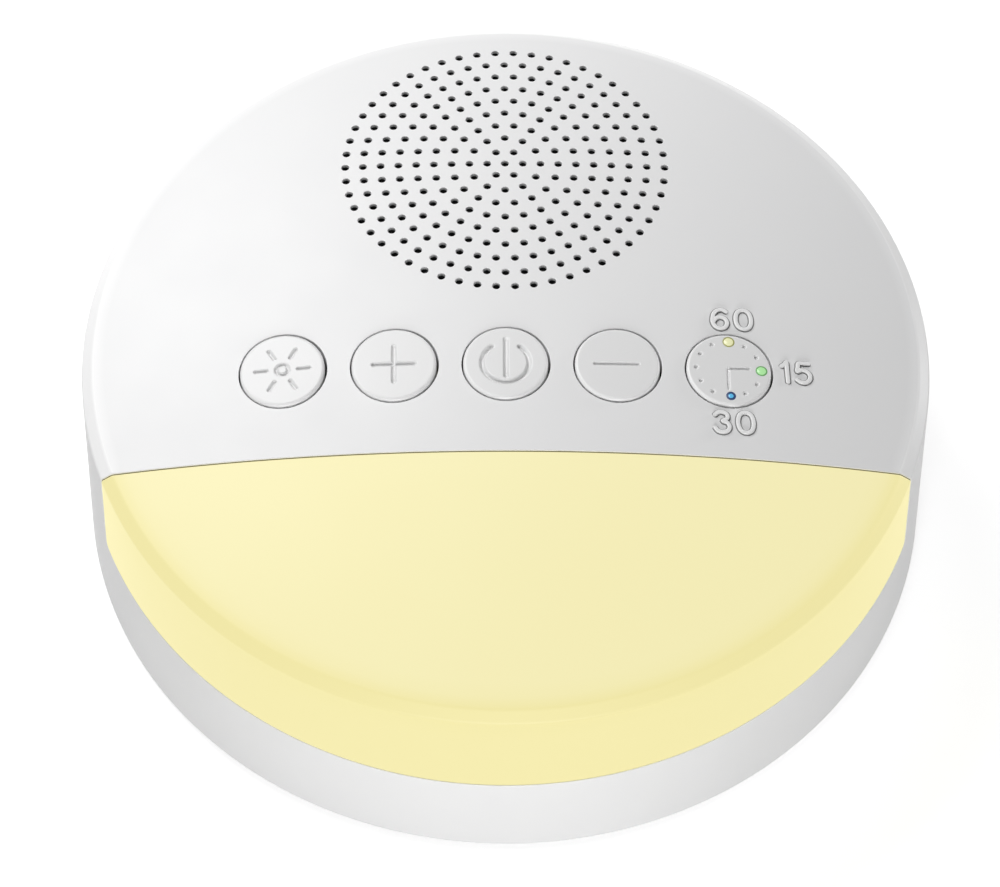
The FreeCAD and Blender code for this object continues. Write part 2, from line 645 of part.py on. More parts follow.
def speaker_basket():
    """Pressed frame: flat rim, sloping wall with four windows, and a floor with a bore."""
    rim_inner = SPEAKER_RADIUS - RIM_WIDTH
    profile = [(SPEAKER_RADIUS, rim_under_z), (SPEAKER_RADIUS, rim_z), (rim_inner, rim_z),
               (BASKET_FLOOR_RADIUS - BASKET_WALL, basket_floor_z), (plate_bore, basket_floor_z),
               (plate_bore, plate_z), (BASKET_FLOOR_RADIUS, plate_z),
               (rim_inner + BASKET_WALL, rim_under_z)]
    basket = turned(profile, 0, speaker_y)
    windows = []
    for turn in BASKET_WINDOW_TURNS:
        window = block(BASKET_FLOOR_RADIUS - BASKET_WALL, SPEAKER_RADIUS,
                       -BASKET_WINDOW_WIDTH / 2, BASKET_WINDOW_WIDTH / 2,
                       basket_floor_z + BASKET_WINDOW_EDGE, rim_under_z - BASKET_WINDOW_EDGE)
        window.rotate(Vector(0, 0, 0), Vector(0, 0, 1), turn)
        window.translate(Vector(0, speaker_y, 0))
        windows.append(window)
    return one_solid(basket.cut(windows))


cone_edge_r = SPEAKER_RADIUS - CONE_EDGE_INSET
cone_neck_z = basket_floor_z + SPIDER_RISE + SKIN
cone_neck_top_z = cone_neck_z + CONE_THICKNESS * CONE_SLANT
cone_edge_z = rim_z - CONE_THICKNESS


def speaker_cone():
    """Paper cone from the voice coil out to a narrow flat edge."""
    fold_r = cone_edge_r - CONE_EDGE_LAND
    return turned([(coil_outer_r, cone_neck_z), (fold_r, cone_edge_z), (cone_edge_r, cone_edge_z),
                   (cone_edge_r, rim_z), (fold_r - CONE_EDGE_SLOPE, rim_z), (coil_outer_r, cone_neck_top_z)],
                  0, speaker_y)


def dust_cap():
    """Shallow domed cap over the voice coil."""
    edge_r = coil_outer_r + CAP_OVERLAP
    slope = (cone_edge_z - cone_neck_z) / (cone_edge_r - CONE_EDGE_LAND - coil_outer_r)
    edge_z = cone_neck_top_z + CAP_OVERLAP * slope + CAP_GLUE
    shoulder_z = edge_z + CAP_SHOULDER_RISE
    top_z = edge_z + CAP_RISE
    return turned([(edge_r, edge_z), (edge_r * CAP_SHOULDER, shoulder_z), (0, top_z), (0, top_z - SKIN),
                   ((edge_r - SKIN) * CAP_SHOULDER, shoulder_z - SKIN), (edge_r - SKIN, edge_z)],
                  0, speaker_y)


def speaker_surround():
    """Soft roll between the cone edge and the basket rim."""
    inner = cone_edge_r - ROLL_OVERLAP
    outer = SPEAKER_RADIUS - GASKET_WIDTH - ROLL_INSET
    crown_in = cone_edge_r + ROLL_FLANK
    crown_out = SPEAKER_RADIUS - RIM_WIDTH - ROLL_INSET
    crown_z = rim_z + ROLL_HEIGHT
    skin_z = rim_z + SKIN
    lean = ROLL_FLANK * SKIN
    return turned([(inner, rim_z), (cone_edge_r - ROLL_FOOT, rim_z), (crown_in, crown_z - SKIN),
                   (crown_out, crown_z - SKIN), (crown_out + ROLL_FLANK, rim_z), (outer, rim_z),
                   (outer, skin_z), (crown_out + ROLL_FLANK + SKIN, skin_z),
                   (crown_out + lean, crown_z), (crown_in - lean, crown_z),
                   (cone_edge_r - ROLL_FOOT - SKIN, skin_z), (inner, skin_z)], 0, speaker_y)


def speaker_spider():
    """Springy ring that centres the voice coil over the basket floor."""
    inner = coil_outer_r + COIL_GAP
    outer = BASKET_FLOOR_RADIUS - BASKET_WALL - SPIDER_INSET
    foot_r = outer - SPIDER_FOOT
    land_r = inner + SPIDER_LAND
    land_z = basket_floor_z + SPIDER_RISE
    lean = ROLL_FLANK * SKIN
    return turned([(outer, basket_floor_z), (outer, basket_floor_z + SKIN), (foot_r, basket_floor_z + SKIN),
                   (land_r, land_z), (inner, land_z), (inner, land_z - SKIN), (land_r - lean, land_z - SKIN),
                   (foot_r - lean, basket_floor_z)], 0, speaker_y)


def voice_coil():
    """Thin tube that runs in the magnet's gap and carries the cone."""
    top_z = cone_neck_z + CONE_THICKNESS
    return ring(coil_outer_r, coil_r, top_z - COIL_LENGTH, top_z, 0, speaker_y)


def speaker_yoke():
    """Steel back plate with the round pole in its middle."""
    return turned([(PLATE_RADIUS, yoke_under_z), (PLATE_RADIUS, yoke_z), (POLE_RADIUS, yoke_z),
                   (POLE_RADIUS, basket_floor_z), (0, basket_floor_z), (0, yoke_under_z)], 0, speaker_y)


def speaker_terminals():
    """Solder strip on the front of the basket floor."""
    return centred_block(SPEAKER_LEAD_X, speaker_y - BASKET_FLOOR_RADIUS - TERMINAL_OUTBOARD,
                         TERMINAL_WIDTH, TERMINAL_LENGTH, plate_z - CONTACT_THICKNESS, plate_z)


def grille_cloth():
    """Thin cloth glued under the holes of the grille."""
    layer = under_dome(WALL + CLOTH_GAP).cut(under_dome(WALL + CLOTH_GAP + CLOTH_THICKNESS))
    reach = SPEAKER_RADIUS - SEAT_RIB_WIDTH - CLOTH_MARGIN
    return one_solid(layer.common(prism(reach, gasket_top_z, OVERALL_HEIGHT, 0, speaker_y, RING_SIDES)))


def light_board():
    """Board of the night light, on two posts of the bottom cover."""
    board = centred_block(0, light_board_y, LIGHT_BOARD_WIDTH, LIGHT_BOARD_LENGTH,
                          light_board_z - LIGHT_BOARD_THICKNESS, light_board_z)
    hole_r = SCREW_RADIUS + SCREW_PLAY
    return board.cut([prism(hole_r, light_board_z - LIGHT_BOARD_THICKNESS, light_board_z, x, y, SCREW_SIDES)
                      for x, y in light_screw_places])


def night_light_leds():
    """Rows of square lamps on the night light board."""
    top_z = light_board_z + LIGHT_LED_HEIGHT
    return [centred_block(x, y, LIGHT_LED_SIDE, LIGHT_LED_SIDE, light_board_z, top_z) for x, y in light_leds]


def light_reflector():
    """White tray under the lens: a D-shaped floor open over the lamps, and an upright back wall."""
    radius = lip_r - REFLECTOR_PLAY
    back_y = lens_y - LENS_GAP - LENS_ROOT - REFLECTOR_PLAY
    zone = disc(radius, reflector_z, OVERALL_HEIGHT).common(
        under_dome(WALL + LENS_LIP_PLAY + LENS_LIP_THICKNESS + COVER_PLAY))
    floor = zone.common(block(-far, far, -far, back_y, reflector_z, reflector_z + REFLECTOR_THICKNESS))
    wall = zone.common(block(-far, far, back_y - REFLECTOR_THICKNESS, back_y, reflector_z, OVERALL_HEIGHT))
    leg_x = LIGHT_BOARD_WIDTH / 2 - REFLECTOR_LEG_INSET
    leg_y = LIGHT_BOARD_LENGTH / 2 - REFLECTOR_LEG_INSET
    legs = [centred_block(sx * leg_x, light_board_y + sy * leg_y, REFLECTOR_LEG_SIDE, REFLECTOR_LEG_SIDE,
                          light_board_z, reflector_z + REFLECTOR_THICKNESS / 2)
            for sx in (-1, 1) for sy in (-1, 1)]
    side = LIGHT_LED_SIDE + 2 * LIGHT_LED_PLAY
    openings = [centred_block(x, y, side, side, reflector_z, reflector_z + REFLECTOR_THICKNESS)
                for x, y in light_leds]
    return one_solid(floor.multiFuse([wall] + legs).cut(openings))


def battery_cell():
    """Round rechargeable cell with its raised end, lying along X."""
    end = CELL_LENGTH + CELL_NUB
    cell = turned([(0, 0), (CELL_RADIUS, 0), (CELL_RADIUS, CELL_LENGTH), (CELL_NUB_RADIUS, CELL_LENGTH),
                   (CELL_NUB_RADIUS, end), (0, end)], 0, 0)
    cell.rotate(Vector(0, 0, 0), Vector(0, 1, 0), 90)
    cell.translate(Vector(-end / 2, cell_y, cell_z))
    return cell


def battery_holder():
    """Open plastic tray that the cell drops into."""
    tray = centred_block(0, cell_y, 2 * holder_half_x, 2 * holder_half_y, floor_z, floor_z + HOLDER_HEIGHT)
    well = centred_block(0, cell_y, 2 * (holder_half_x - HOLDER_WALL), 2 * (holder_half_y - HOLDER_WALL),
                         floor_z + HOLDER_WALL, floor_z + HOLDER_HEIGHT)
    return tray.cut(well)


def battery_contacts():
    """Bent metal strips between the tray's ends and the cell."""
    contacts = []
    cell_end = CELL_LENGTH / 2 + CELL_NUB / 2
    wall_x = holder_half_x - HOLDER_WALL
    plate_x = wall_x - CONTACT_THICKNESS
    half = BOW_SIDE / 2
    for side in (-1, 1):
        plate = block(plate_x, wall_x, cell_y - CONTACT_WIDTH / 2, cell_y + CONTACT_WIDTH / 2,
                      floor_z + HOLDER_WALL, floor_z + HOLDER_HEIGHT)
        bow = block(cell_end, plate_x, cell_y - half, cell_y + half, cell_z - half, cell_z + half)
        hollow = block(cell_end + CONTACT_THICKNESS, plate_x, cell_y - half, cell_y + half,
                       cell_z - half + CONTACT_THICKNESS, cell_z + half - CONTACT_THICKNESS)
        strip = plate.fuse(bow.cut(hollow))
        if side < 0:
            strip = strip.mirror(Vector(0, 0, 0), Vector(1, 0, 0))
        contacts.append(one_solid(strip))
    return contacts


def charge_board():
    """Small board by the back wall that carries the charging socket."""
    under_z = charge_board_z - CHARGE_BOARD_THICKNESS
    board = block(-CHARGE_BOARD_WIDTH / 2, CHARGE_BOARD_WIDTH / 2, charge_front_y, charge_rear_y,
                  under_z, charge_board_z)
    hole_r = SCREW_RADIUS + SCREW_PLAY
    return board.cut([prism(hole_r, under_z, charge_board_z, x, y, SCREW_SIDES)
                      for x, y in charge_screw_places])


def charge_parts():
    """Charging chip and coil beside the socket."""
    side_x = CHARGE_BOARD_WIDTH / 2 - CHARGE_PART_INSET
    return [centred_block(x, charge_rear_y - CHARGE_PART_FROM_REAR, CHARGE_PART_WIDTH, CHARGE_PART_LENGTH,
                          charge_board_z, charge_board_z + height)
            for x, height in ((-side_x, CHARGE_CHIP_HEIGHT), (side_x, CHARGE_COIL_HEIGHT))]


def usb_shell():
    """Metal case of the charging socket, open to the back of the body."""
    case = socket_form(0, socket_mouth_y - SOCKET_LENGTH, socket_mouth_y)
    return one_solid(case.cut(socket_form(-SOCKET_SKIN, socket_mouth_y - SOCKET_MOUTH_DEPTH, socket_mouth_y)))


def usb_tongue():
    """Contact tongue in the middle of the socket."""
    back_y = socket_mouth_y - SOCKET_MOUTH_DEPTH
    return centred_block(0, back_y + TONGUE_LENGTH / 2, TONGUE_WIDTH, TONGUE_LENGTH,
                         socket_z - TONGUE_THICKNESS / 2, socket_z + TONGUE_THICKNESS / 2)


def lead(points, across):
    """Flat two-core lead: straight runs in one plane, joined by tangent arcs."""
    edges = []
    start = points[0]
    for here, ahead in zip(points[1:-1], points[2:]):
        way_in = (here - start).normalize()
        way_out = (ahead - here).normalize()
        half_turn = way_in.getAngle(way_out) / 2
        setback = LEAD_BEND * math.tan(half_turn)
        a = here - way_in * setback
        b = here + way_out * setback
        middle_way = (way_out - way_in).normalize()
        middle = here + middle_way * (LEAD_BEND / math.cos(half_turn) - LEAD_BEND)
        edges.append(Part.LineSegment(start, a).toShape())
        edges.append(Part.Arc(a, middle, b).toShape())
        start = b
    edges.append(Part.LineSegment(start, points[-1]).toShape())
    path = Part.Wire(edges)
    first = (points[1] - points[0]).normalize()
    up = first.cross(across)
    corners = [points[0] + across * (i * LEAD_WIDTH / 2) + up * (j * LEAD_HEIGHT / 2)
               for i, j in ((-1, -1), (1, -1), (1, 1), (-1, 1))]
    section = Part.makePolygon(corners + corners[:1])
    return path.makePipeShell([section], True, False).Solids[0]


drop_y = board_rear_y + LEAD_BEND + LEAD_STUB
charge_entry_z = charge_board_z + LEAD_ENTRY_HEIGHT


def speaker_lead():
    """From the main board's back edge down and under the basket rim to the solder strip."""
    x = SPEAKER_LEAD_X
    low_z = plate_z - CONTACT_THICKNESS - LEAD_HEIGHT / 2
    points = [Vector(x, board_rear_y, entry_z), Vector(x, drop_y, entry_z),
              Vector(x, drop_y, low_z),
              Vector(x, speaker_y - BASKET_FLOOR_RADIUS - TERMINAL_OUTBOARD, low_z)]
    return lead(points, Vector(1, 0, 0))


def charge_lead():
    """From the charging board forward under the loudspeaker, then up to the main board."""
    x = CHARGE_LEAD_X
    points = [Vector(x, board_rear_y, entry_z), Vector(x, drop_y, entry_z),
              Vector(x, drop_y, charge_entry_z),
              Vector(x, charge_connector_y - CONNECTOR_LENGTH / 2, charge_entry_z)]
    return lead(points, Vector(1, 0, 0))


def light_lead():
    """From the main board's front edge down between battery and reflector to the light board."""
    x = button_pitch
    y = (lens_y + cell_y - holder_half_y) / 2 - LIGHT_LEAD_OFFSET
    low_z = light_board_z + LEAD_HEIGHT / 2
    points = [Vector(x, board_front_y, entry_z), Vector(x, y, entry_z),
              Vector(x, y, low_z), Vector(x, light_board_rear_y - LEAD_LANDING, low_z)]
    return lead(points, Vector(1, 0, 0))


def battery_lead():
    """From the tray's right end up round the board's end to its side plug."""
    y = row_y + CONNECTOR_LENGTH
    x = board_half_x + LEAD_BEND + BATTERY_LEAD_STUB
    low_z = floor_z + HOLDER_HEIGHT / 2
    points = [Vector(board_half_x, y, entry_z), Vector(x, y, entry_z),
              Vector(x, y, low_z), Vector(holder_half_x, y, low_z)]
    return lead(points, Vector(0, 1, 0))


def build_casing():
    """Casing pieces and the screws that close them."""
    save("main_shell", main_shell())
    save("light_lens", light_lens())
    save("bottom_cover", bottom_cover())
    save("rubber_feet", [prism(foot_r, 0, cover_z + FOOT_POCKET, x, y, RING_SIDES) for x, y in foot_places])
    save("housing_screws", [screw(x, y, head_seat_z, 1, HOUSING_SCREW_BITE) for x, y in boss_places])


def build_controls():
    """Buttons, switches and the main board under them."""
    for name, x in zip(BUTTON_NAMES, button_xs):
        save(name + "_button", timer_cap() if name == "timer" else button_cap(x))
        save(name + "_switch_plunger", switch_plunger(x))
    save("timer_light_pipes", timer_light_pipes())
    save("switch_bodies", [switch_body(x) for x in button_xs])
    save("timer_leds", [centred_block(x, y, LED_WIDTH, LED_WIDTH, board_z, board_z + LED_HEIGHT)
                        for x, y in dot_places()])
    save("main_board", main_board())
    save("board_screws", [screw(x, y, board_under_z, 1, BOARD_THICKNESS + SMALL_SCREW_BITE)
                          for x, y in board_boss_places])
    save("control_chips", control_chips())
    save("capacitors", capacitors())
    save("lead_connectors", lead_connectors())


def build_speaker():
    """Loudspeaker, stacked under the grille."""
    save("speaker_gasket", ring(SPEAKER_RADIUS, SPEAKER_RADIUS - GASKET_WIDTH, rim_z, gasket_top_z,
                                0, speaker_y))
    save("speaker_basket", speaker_basket())
    save("speaker_surround", speaker_surround())
    save("speaker_cone", speaker_cone())
    save("dust_cap", dust_cap())
    save("voice_coil", voice_coil())
    save("speaker_spider", speaker_spider())
    save("speaker_top_plate", ring(PLATE_RADIUS, plate_bore, magnet_z, plate_z, 0, speaker_y))
    save("speaker_magnet", ring(MAGNET_RADIUS, MAGNET_BORE, yoke_z, magnet_z, 0, speaker_y))
    save("speaker_yoke", speaker_yoke())
    save("speaker_terminals", speaker_terminals())
    save("speaker_screws", [screw(x, y, rim_under_z, 1, SMALL_SCREW_BITE, WASHER_HEAD_RADIUS)
                            for x, y in speaker_screw_places])
    save("grille_cloth", grille_cloth())


def build_light():
    """Night light under the lens."""
    save("light_board", light_board())
    save("night_light_leds", night_light_leds())
    save("light_reflector", light_reflector())
    save("light_board_screws", [screw(x, y, light_board_z, -1, LIGHT_BOARD_THICKNESS + SMALL_SCREW_BITE)
                                for x, y in light_screw_places])


def build_power():
    """Battery, charging board and socket."""
    save("battery_cell", battery_cell())
    save("battery_holder", battery_holder())
    save("battery_contacts", battery_contacts())
    save("charge_board", charge_board())
    save("charge_parts", charge_parts())
    save("charge_board_screws", [screw(x, y, charge_board_z, -1, CHARGE_BOARD_THICKNESS + CHARGE_POST_HEIGHT)
                                 for x, y in charge_screw_places])
    save("usb_shell", usb_shell())
    save("usb_tongue", usb_tongue())


def build_leads():
    """Leads that join the boards, the battery and the loudspeaker."""
    save("speaker_lead", speaker_lead())
    save("charge_lead", charge_lead())
    save("light_lead", light_lead())
    save("battery_lead", battery_lead())


build_casing()
build_controls()
build_speaker()
build_light()
build_power()
build_leads()
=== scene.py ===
import logging
import math
from dataclasses import dataclass, field, replace
from enum import Enum

import bpy
import numpy as np
from mathutils import Matrix, Vector
from mathutils.geometry import delaunay_2d_cdt


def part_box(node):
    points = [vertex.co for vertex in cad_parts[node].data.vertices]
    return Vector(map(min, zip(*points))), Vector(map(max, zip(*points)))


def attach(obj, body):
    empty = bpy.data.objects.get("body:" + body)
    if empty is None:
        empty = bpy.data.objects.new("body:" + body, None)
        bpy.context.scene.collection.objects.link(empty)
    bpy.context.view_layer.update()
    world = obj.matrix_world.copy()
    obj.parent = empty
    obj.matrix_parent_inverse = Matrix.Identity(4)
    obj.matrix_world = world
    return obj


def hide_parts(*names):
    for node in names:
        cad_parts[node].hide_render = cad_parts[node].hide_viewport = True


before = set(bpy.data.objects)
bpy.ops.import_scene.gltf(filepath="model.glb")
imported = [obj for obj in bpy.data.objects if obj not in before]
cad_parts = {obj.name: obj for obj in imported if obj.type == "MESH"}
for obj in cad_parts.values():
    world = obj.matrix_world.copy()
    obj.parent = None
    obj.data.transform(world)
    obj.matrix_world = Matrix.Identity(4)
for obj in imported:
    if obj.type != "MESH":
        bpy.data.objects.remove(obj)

log = logging.getLogger("sound_machine")

MM = 0.001
UP = (0.0, 0.0, 1.0)
DOWN = (0.0, 0.0, -1.0)
CASING = "casing"
DOME_RADIUS = 262.5
DOME_CENTRE = -221.6
PIN = 0.02  # radius at which a turned piece ends, just off its axis

Array = np.ndarray
Tree = bpy.types.NodeTree
Node = bpy.types.Node
Socket = bpy.types.NodeSocket
Material = bpy.types.Material
Piece = bpy.types.Object
Colour = tuple[float, float, float]
Edge = tuple[Array, Array]


class Pattern(Enum):
    """Kinds of surface that a finish can have."""

    MOULDED = "moulded"
    WOVEN = "woven"
    TURNED = "turned"
    BRUSHED = "brushed"
    FIBRE = "fibre"
    TRACES = "traces"


class Icon(Enum):
    """Signs cut into the keys, from left to right."""

    SUN = "sun"
    PLUS = "plus"
    POWER = "power"
    MINUS = "minus"
    CLOCK = "clock"


# Surface effects shared by the materials


def sum_node(tree: Tree, operation: str, *terms: Socket | float) -> Socket:
    """Adds one Math node.

    Args:
        tree: The node tree.
        operation: The node's operation.
        terms: Sockets or numbers for its inputs.

    Returns:
        Its output.
    """
    node = tree.nodes.new("ShaderNodeMath")
    node.operation = operation
    for slot, term in zip(node.inputs, terms):
        if isinstance(term, Socket):
            tree.links.new(term, slot)
        else:
            slot.default_value = term
    return node.outputs[0]


class EffectGroup:
    """A shader node group that gives one surface effect."""

    name: str = "effect"
    values: tuple[tuple[str, float], ...] = ()
    colours: tuple[str, ...] = ()
    result: str = "Height"

    def tree(self) -> Tree:
        """Finds the group, or builds it the first time.

        Returns:
            The node group.
        """
        found = bpy.data.node_groups.get(self.name)
        if found is not None:
            return found
        self.made = bpy.data.node_groups.new(self.name, "ShaderNodeTree")
        sockets = self.made.interface
        for label in self.colours:
            sockets.new_socket(label, in_out="INPUT", socket_type="NodeSocketColor")
        for label, value in self.values:
            sockets.new_socket(label, in_out="INPUT", socket_type="NodeSocketFloat").default_value = value
        kind = "NodeSocketColor" if self.result == "Color" else "NodeSocketFloat"
        sockets.new_socket(self.result, in_out="OUTPUT", socket_type=kind)
        self.given = self.made.nodes.new("NodeGroupInput").outputs
        sink = self.made.nodes.new("NodeGroupOutput")
        self.made.links.new(self.wire(), sink.inputs[0])
        return self.made

    def wire(self) -> Socket:
        """Builds the nodes between the group's inputs and its output, and gives the result's socket."""
        raise NotImplementedError

    def place(self) -> Socket:
        """Gives the point on the piece, in metres."""
        return self.made.nodes.new("ShaderNodeTexCoord").outputs["Object"]

    def sum(self, operation: str, *terms: Socket | float) -> Socket:
        """Adds one Math node to the group."""
        return sum_node(self.made, operation, *terms)

    def per_metre(self) -> Socket:
        """Turns the group's Size, in millimetres, into repeats in a metre."""
        return self.sum("DIVIDE", 1.0 / MM, self.given["Size"])

    def texture(self, kind: str, scale: Socket, place: Socket | None = None) -> Node:
        """Adds one texture node.

        Args:
            kind: The end of the node type's name.
            scale: The texture's scale.
            place: Where it is read; the point on the piece if it isn't given.

        Returns:
            The node.
        """
        node = self.made.nodes.new(f"ShaderNodeTex{kind}")
        self.made.links.new(scale, node.inputs["Scale"])
        self.made.links.new(place or self.place(), node.inputs["Vector"])
        return node

    def mapped(self, label: str, value: Colour) -> Socket:
        """Gives the point on the piece after one setting of a Mapping node."""
        node = self.made.nodes.new("ShaderNodeMapping")
        node.inputs[label].default_value = value
        self.made.links.new(self.place(), node.inputs["Vector"])
        return node.outputs[0]

    def mix(self, share: Socket) -> Socket:
        """Mixes the group's two colours by a share."""
        node = self.made.nodes.new("ShaderNodeMixRGB")
        for slot, term in zip(node.inputs, (share, *(self.given[label] for label in self.colours))):
            self.made.links.new(term, slot)
        return node.outputs[0]


class MouldGrain(EffectGroup):
    """Fine pitting that a spark-eroded mould leaves on plastic."""

    name = "mould grain"
    values = (("Size", 0.3),)

    def wire(self) -> Socket:
        """Builds two layers of noise, one four times as coarse."""
        scale = self.per_metre()
        fine = self.texture("Noise", scale)
        fine.inputs["Detail"].default_value = 3.0
        coarse = self.texture("Noise", self.sum("MULTIPLY", scale, 0.25))
        return self.sum("MULTIPLY_ADD", coarse.outputs[0], 0.5, fine.outputs[0])


class Mottle(EffectGroup):
    """Slow change from one colour to another over the surface."""

    name = "mottle"
    colours = ("Colour", "Other colour")
    values = (("Size", 8.0), ("Amount", 0.5))
    result = "Color"

    def wire(self) -> Socket:
        """Mixes the two colours by soft noise."""
        noise = self.texture("Noise", self.per_metre())
        noise.inputs["Detail"].default_value = 2.0
        return self.mix(self.sum("MULTIPLY", noise.outputs[0], self.given["Amount"]))


class Smudge(EffectGroup):
    """Uneven gloss, as handling leaves it."""

    name = "smudge"
    values = (("Size", 12.0), ("Low", 0.3), ("High", 0.5))
    result = "Roughness"

    def wire(self) -> Socket:
        """Spreads noise between the low and the high value."""
        noise = self.texture("Noise", self.per_metre())
        span = self.sum("SUBTRACT", self.given["High"], self.given["Low"])
        return self.sum("MULTIPLY_ADD", noise.outputs[0], span, self.given["Low"])


class PaintedEdgeShading(EffectGroup):
    """Painted highlight along edges (a lighter edge colour) or painted shade (a darker one), read from the
    piece's own edge values.
    """

    name = "edge rub"
    colours = ("Colour", "Edge colour")
    values = (("Amount", 0.5),)
    result = "Color"

    def wire(self) -> Socket:
        """Mixes in the edge colour where the edge value is high."""
        edge = self.made.nodes.new("ShaderNodeAttribute")
        edge.attribute_name = "edge"
        return self.mix(self.sum("MULTIPLY", edge.outputs["Fac"], self.given["Amount"]))


class Weave(EffectGroup):
    """Threads that cross at right angles."""

    name = "weave"
    values = (("Size", 0.4),)
    WAVE_SHARE = 0.31  # scale of a Wave texture for one thread in each size

    def wire(self) -> Socket:
        """Multiplies two sets of waves."""
        scale = self.sum("MULTIPLY", self.per_metre(), self.WAVE_SHARE)
        waves = [self.texture("Wave", scale) for _ in range(2)]
        for wave, direction in zip(waves, ("X", "Y")):
            wave.bands_direction = direction
        return self.sum("MULTIPLY", *(wave.outputs["Fac"] for wave in waves))


class LatheLines(EffectGroup):
    """Rings round the piece's own upright axis, as a lathe or a press leaves them."""

    name = "lathe lines"
    values = (("Size", 0.3), ("Centre X", 0.0), ("Centre Y", 0.0))

    def wire(self) -> Socket:
        """Takes the sine of the distance from the axis."""
        apart = self.made.nodes.new("ShaderNodeSeparateXYZ")
        self.made.links.new(self.place(), apart.inputs[0])
        across = [self.sum("SUBTRACT", apart.outputs[i], self.sum("MULTIPLY", self.given[label], MM))
                  for i, label in enumerate(("Centre X", "Centre Y"))]
        square = self.sum("MULTIPLY_ADD", across[0], across[0], self.sum("MULTIPLY", across[1], across[1]))
        reach = self.sum("SQRT", square)
        rings = self.sum("MULTIPLY", self.per_metre(), math.tau)
        return self.sum("SINE", self.sum("MULTIPLY", reach, rings))


class BrushLines(EffectGroup):
    """Fine lines along X, as drawn or brushed metal has."""

    name = "brush lines"
    values = (("Size", 0.2),)

    def wire(self) -> Socket:
        """Stretches noise along X."""
        place = self.mapped("Scale", (0.04, 1.0, 1.0))
        return self.texture("Noise", self.per_metre(), place).outputs[0]


class Traces(EffectGroup):
    """Copper tracks under the lacquer of a circuit board."""

    name = "board tracks"
    values = (("Size", 3.0),)

    def wire(self) -> Socket:
        """Takes the mortar lines of a slanted brick pattern."""
        place = self.mapped("Rotation", (0.0, 0.0, math.radians(45)))
        brick = self.texture("Brick", self.per_metre(), place)
        brick.inputs["Mortar Size"].default_value = 0.035
        brick.inputs["Mortar Smooth"].default_value = 0.2
        return brick.outputs["Fac"]


@dataclass(frozen=True)
class Finish:
    """A material: its colours, gloss and surface pattern.

    Sizes are in millimetres.
    """

    name: str
    colour: Colour
    other: Colour
    gloss: tuple[float, float] = (0.35, 0.5)
    pattern: Pattern = Pattern.MOULDED
    grain: float = 0.3
    relief: float = 0.01
    mottle_size: float = 9.0
    metallic: float = 0.0
    coat: float = 0.0
    glow: float = 0.0
    centre: tuple[float, float] = (0.0, 0.0)
    # The edge colour, and the amount after it, paint a highlight or a shade along edges and bevels.
    edge: Colour | None = None
    rub: float = 0.6

    GROUPS = {Pattern.MOULDED: MouldGrain, Pattern.WOVEN: Weave, Pattern.TURNED: LatheLines,
              Pattern.BRUSHED: BrushLines, Pattern.FIBRE: MouldGrain, Pattern.TRACES: Traces}

    def put(self, tree: Tree, group: EffectGroup, **settings: object) -> Node:
        """Places an effect group in a material.

        Args:
            tree: The material's tree.
            group: The effect.
            settings: Values or colours, by input name with _ for a space.

        Returns:
            The group's node.
        """
        node = tree.nodes.new("ShaderNodeGroup")
        node.node_tree = group.tree()
        for label, value in settings.items():
            slot = node.inputs[label.replace("_", " ")]
            if isinstance(value, Socket):
                tree.links.new(value, slot)
            elif isinstance(value, tuple):
                slot.default_value = (*value, 1.0)
            else:
                slot.default_value = value
        return node

    def material(self) -> Material:
        """Builds the material, or finds it again.

        Returns:
            The material.
        """
        found = bpy.data.materials.get(self.name)
        if found is not None:
            return found
        made = bpy.data.materials.new(self.name)
        made.use_nodes = True
        tree = made.node_tree
        shader = tree.nodes["Principled BSDF"]
        colour = self.put(tree, Mottle(), Colour=self.colour, Other_colour=self.other,
                          Size=self.mottle_size, Amount=1.0).outputs[0]
        # Without an edge colour of its own, a finish gets a lighter one: a painted highlight.
        edge = self.edge or tuple(min(1.0, c * 1.12 + 0.02) for c in self.colour)
        colour = self.put(tree, PaintedEdgeShading(), Colour=colour, Edge_colour=edge, Amount=self.rub).outputs[0]
        low, high = self.gloss
        rough = self.put(tree, Smudge(), Size=self.mottle_size, Low=low, High=high).outputs[0]
        settings = {"Size": self.grain}
        if self.pattern is Pattern.TURNED:
            settings.update(Centre_X=self.centre[0], Centre_Y=self.centre[1])
        height = self.put(tree, self.GROUPS[self.pattern](), **settings).outputs[0]
        bump = tree.nodes.new("ShaderNodeBump")
        bump.inputs["Distance"].default_value = self.relief * MM
        tree.links.new(height, bump.inputs["Height"])
        tree.links.new(colour, shader.inputs["Base Color"])
        tree.links.new(rough, shader.inputs["Roughness"])
        tree.links.new(bump.outputs[0], shader.inputs["Normal"])
        shader.inputs["Metallic"].default_value = self.metallic
        shader.inputs["Coat Weight"].default_value = self.coat
        if self.glow > 0:
            glowing = tree.nodes.new("ShaderNodeVectorMath")
            glowing.operation = "SCALE"
            glowing.inputs["Scale"].default_value = self.glow
            tree.links.new(colour, glowing.inputs[0])
            tree.links.new(glowing.outputs[0], shader.inputs["Emission Color"])
            shader.inputs["Emission Strength"].default_value = 1.0
        return made


def grey(level: float) -> Colour:
    """Gives a neutral colour."""
    return (level, level, level)
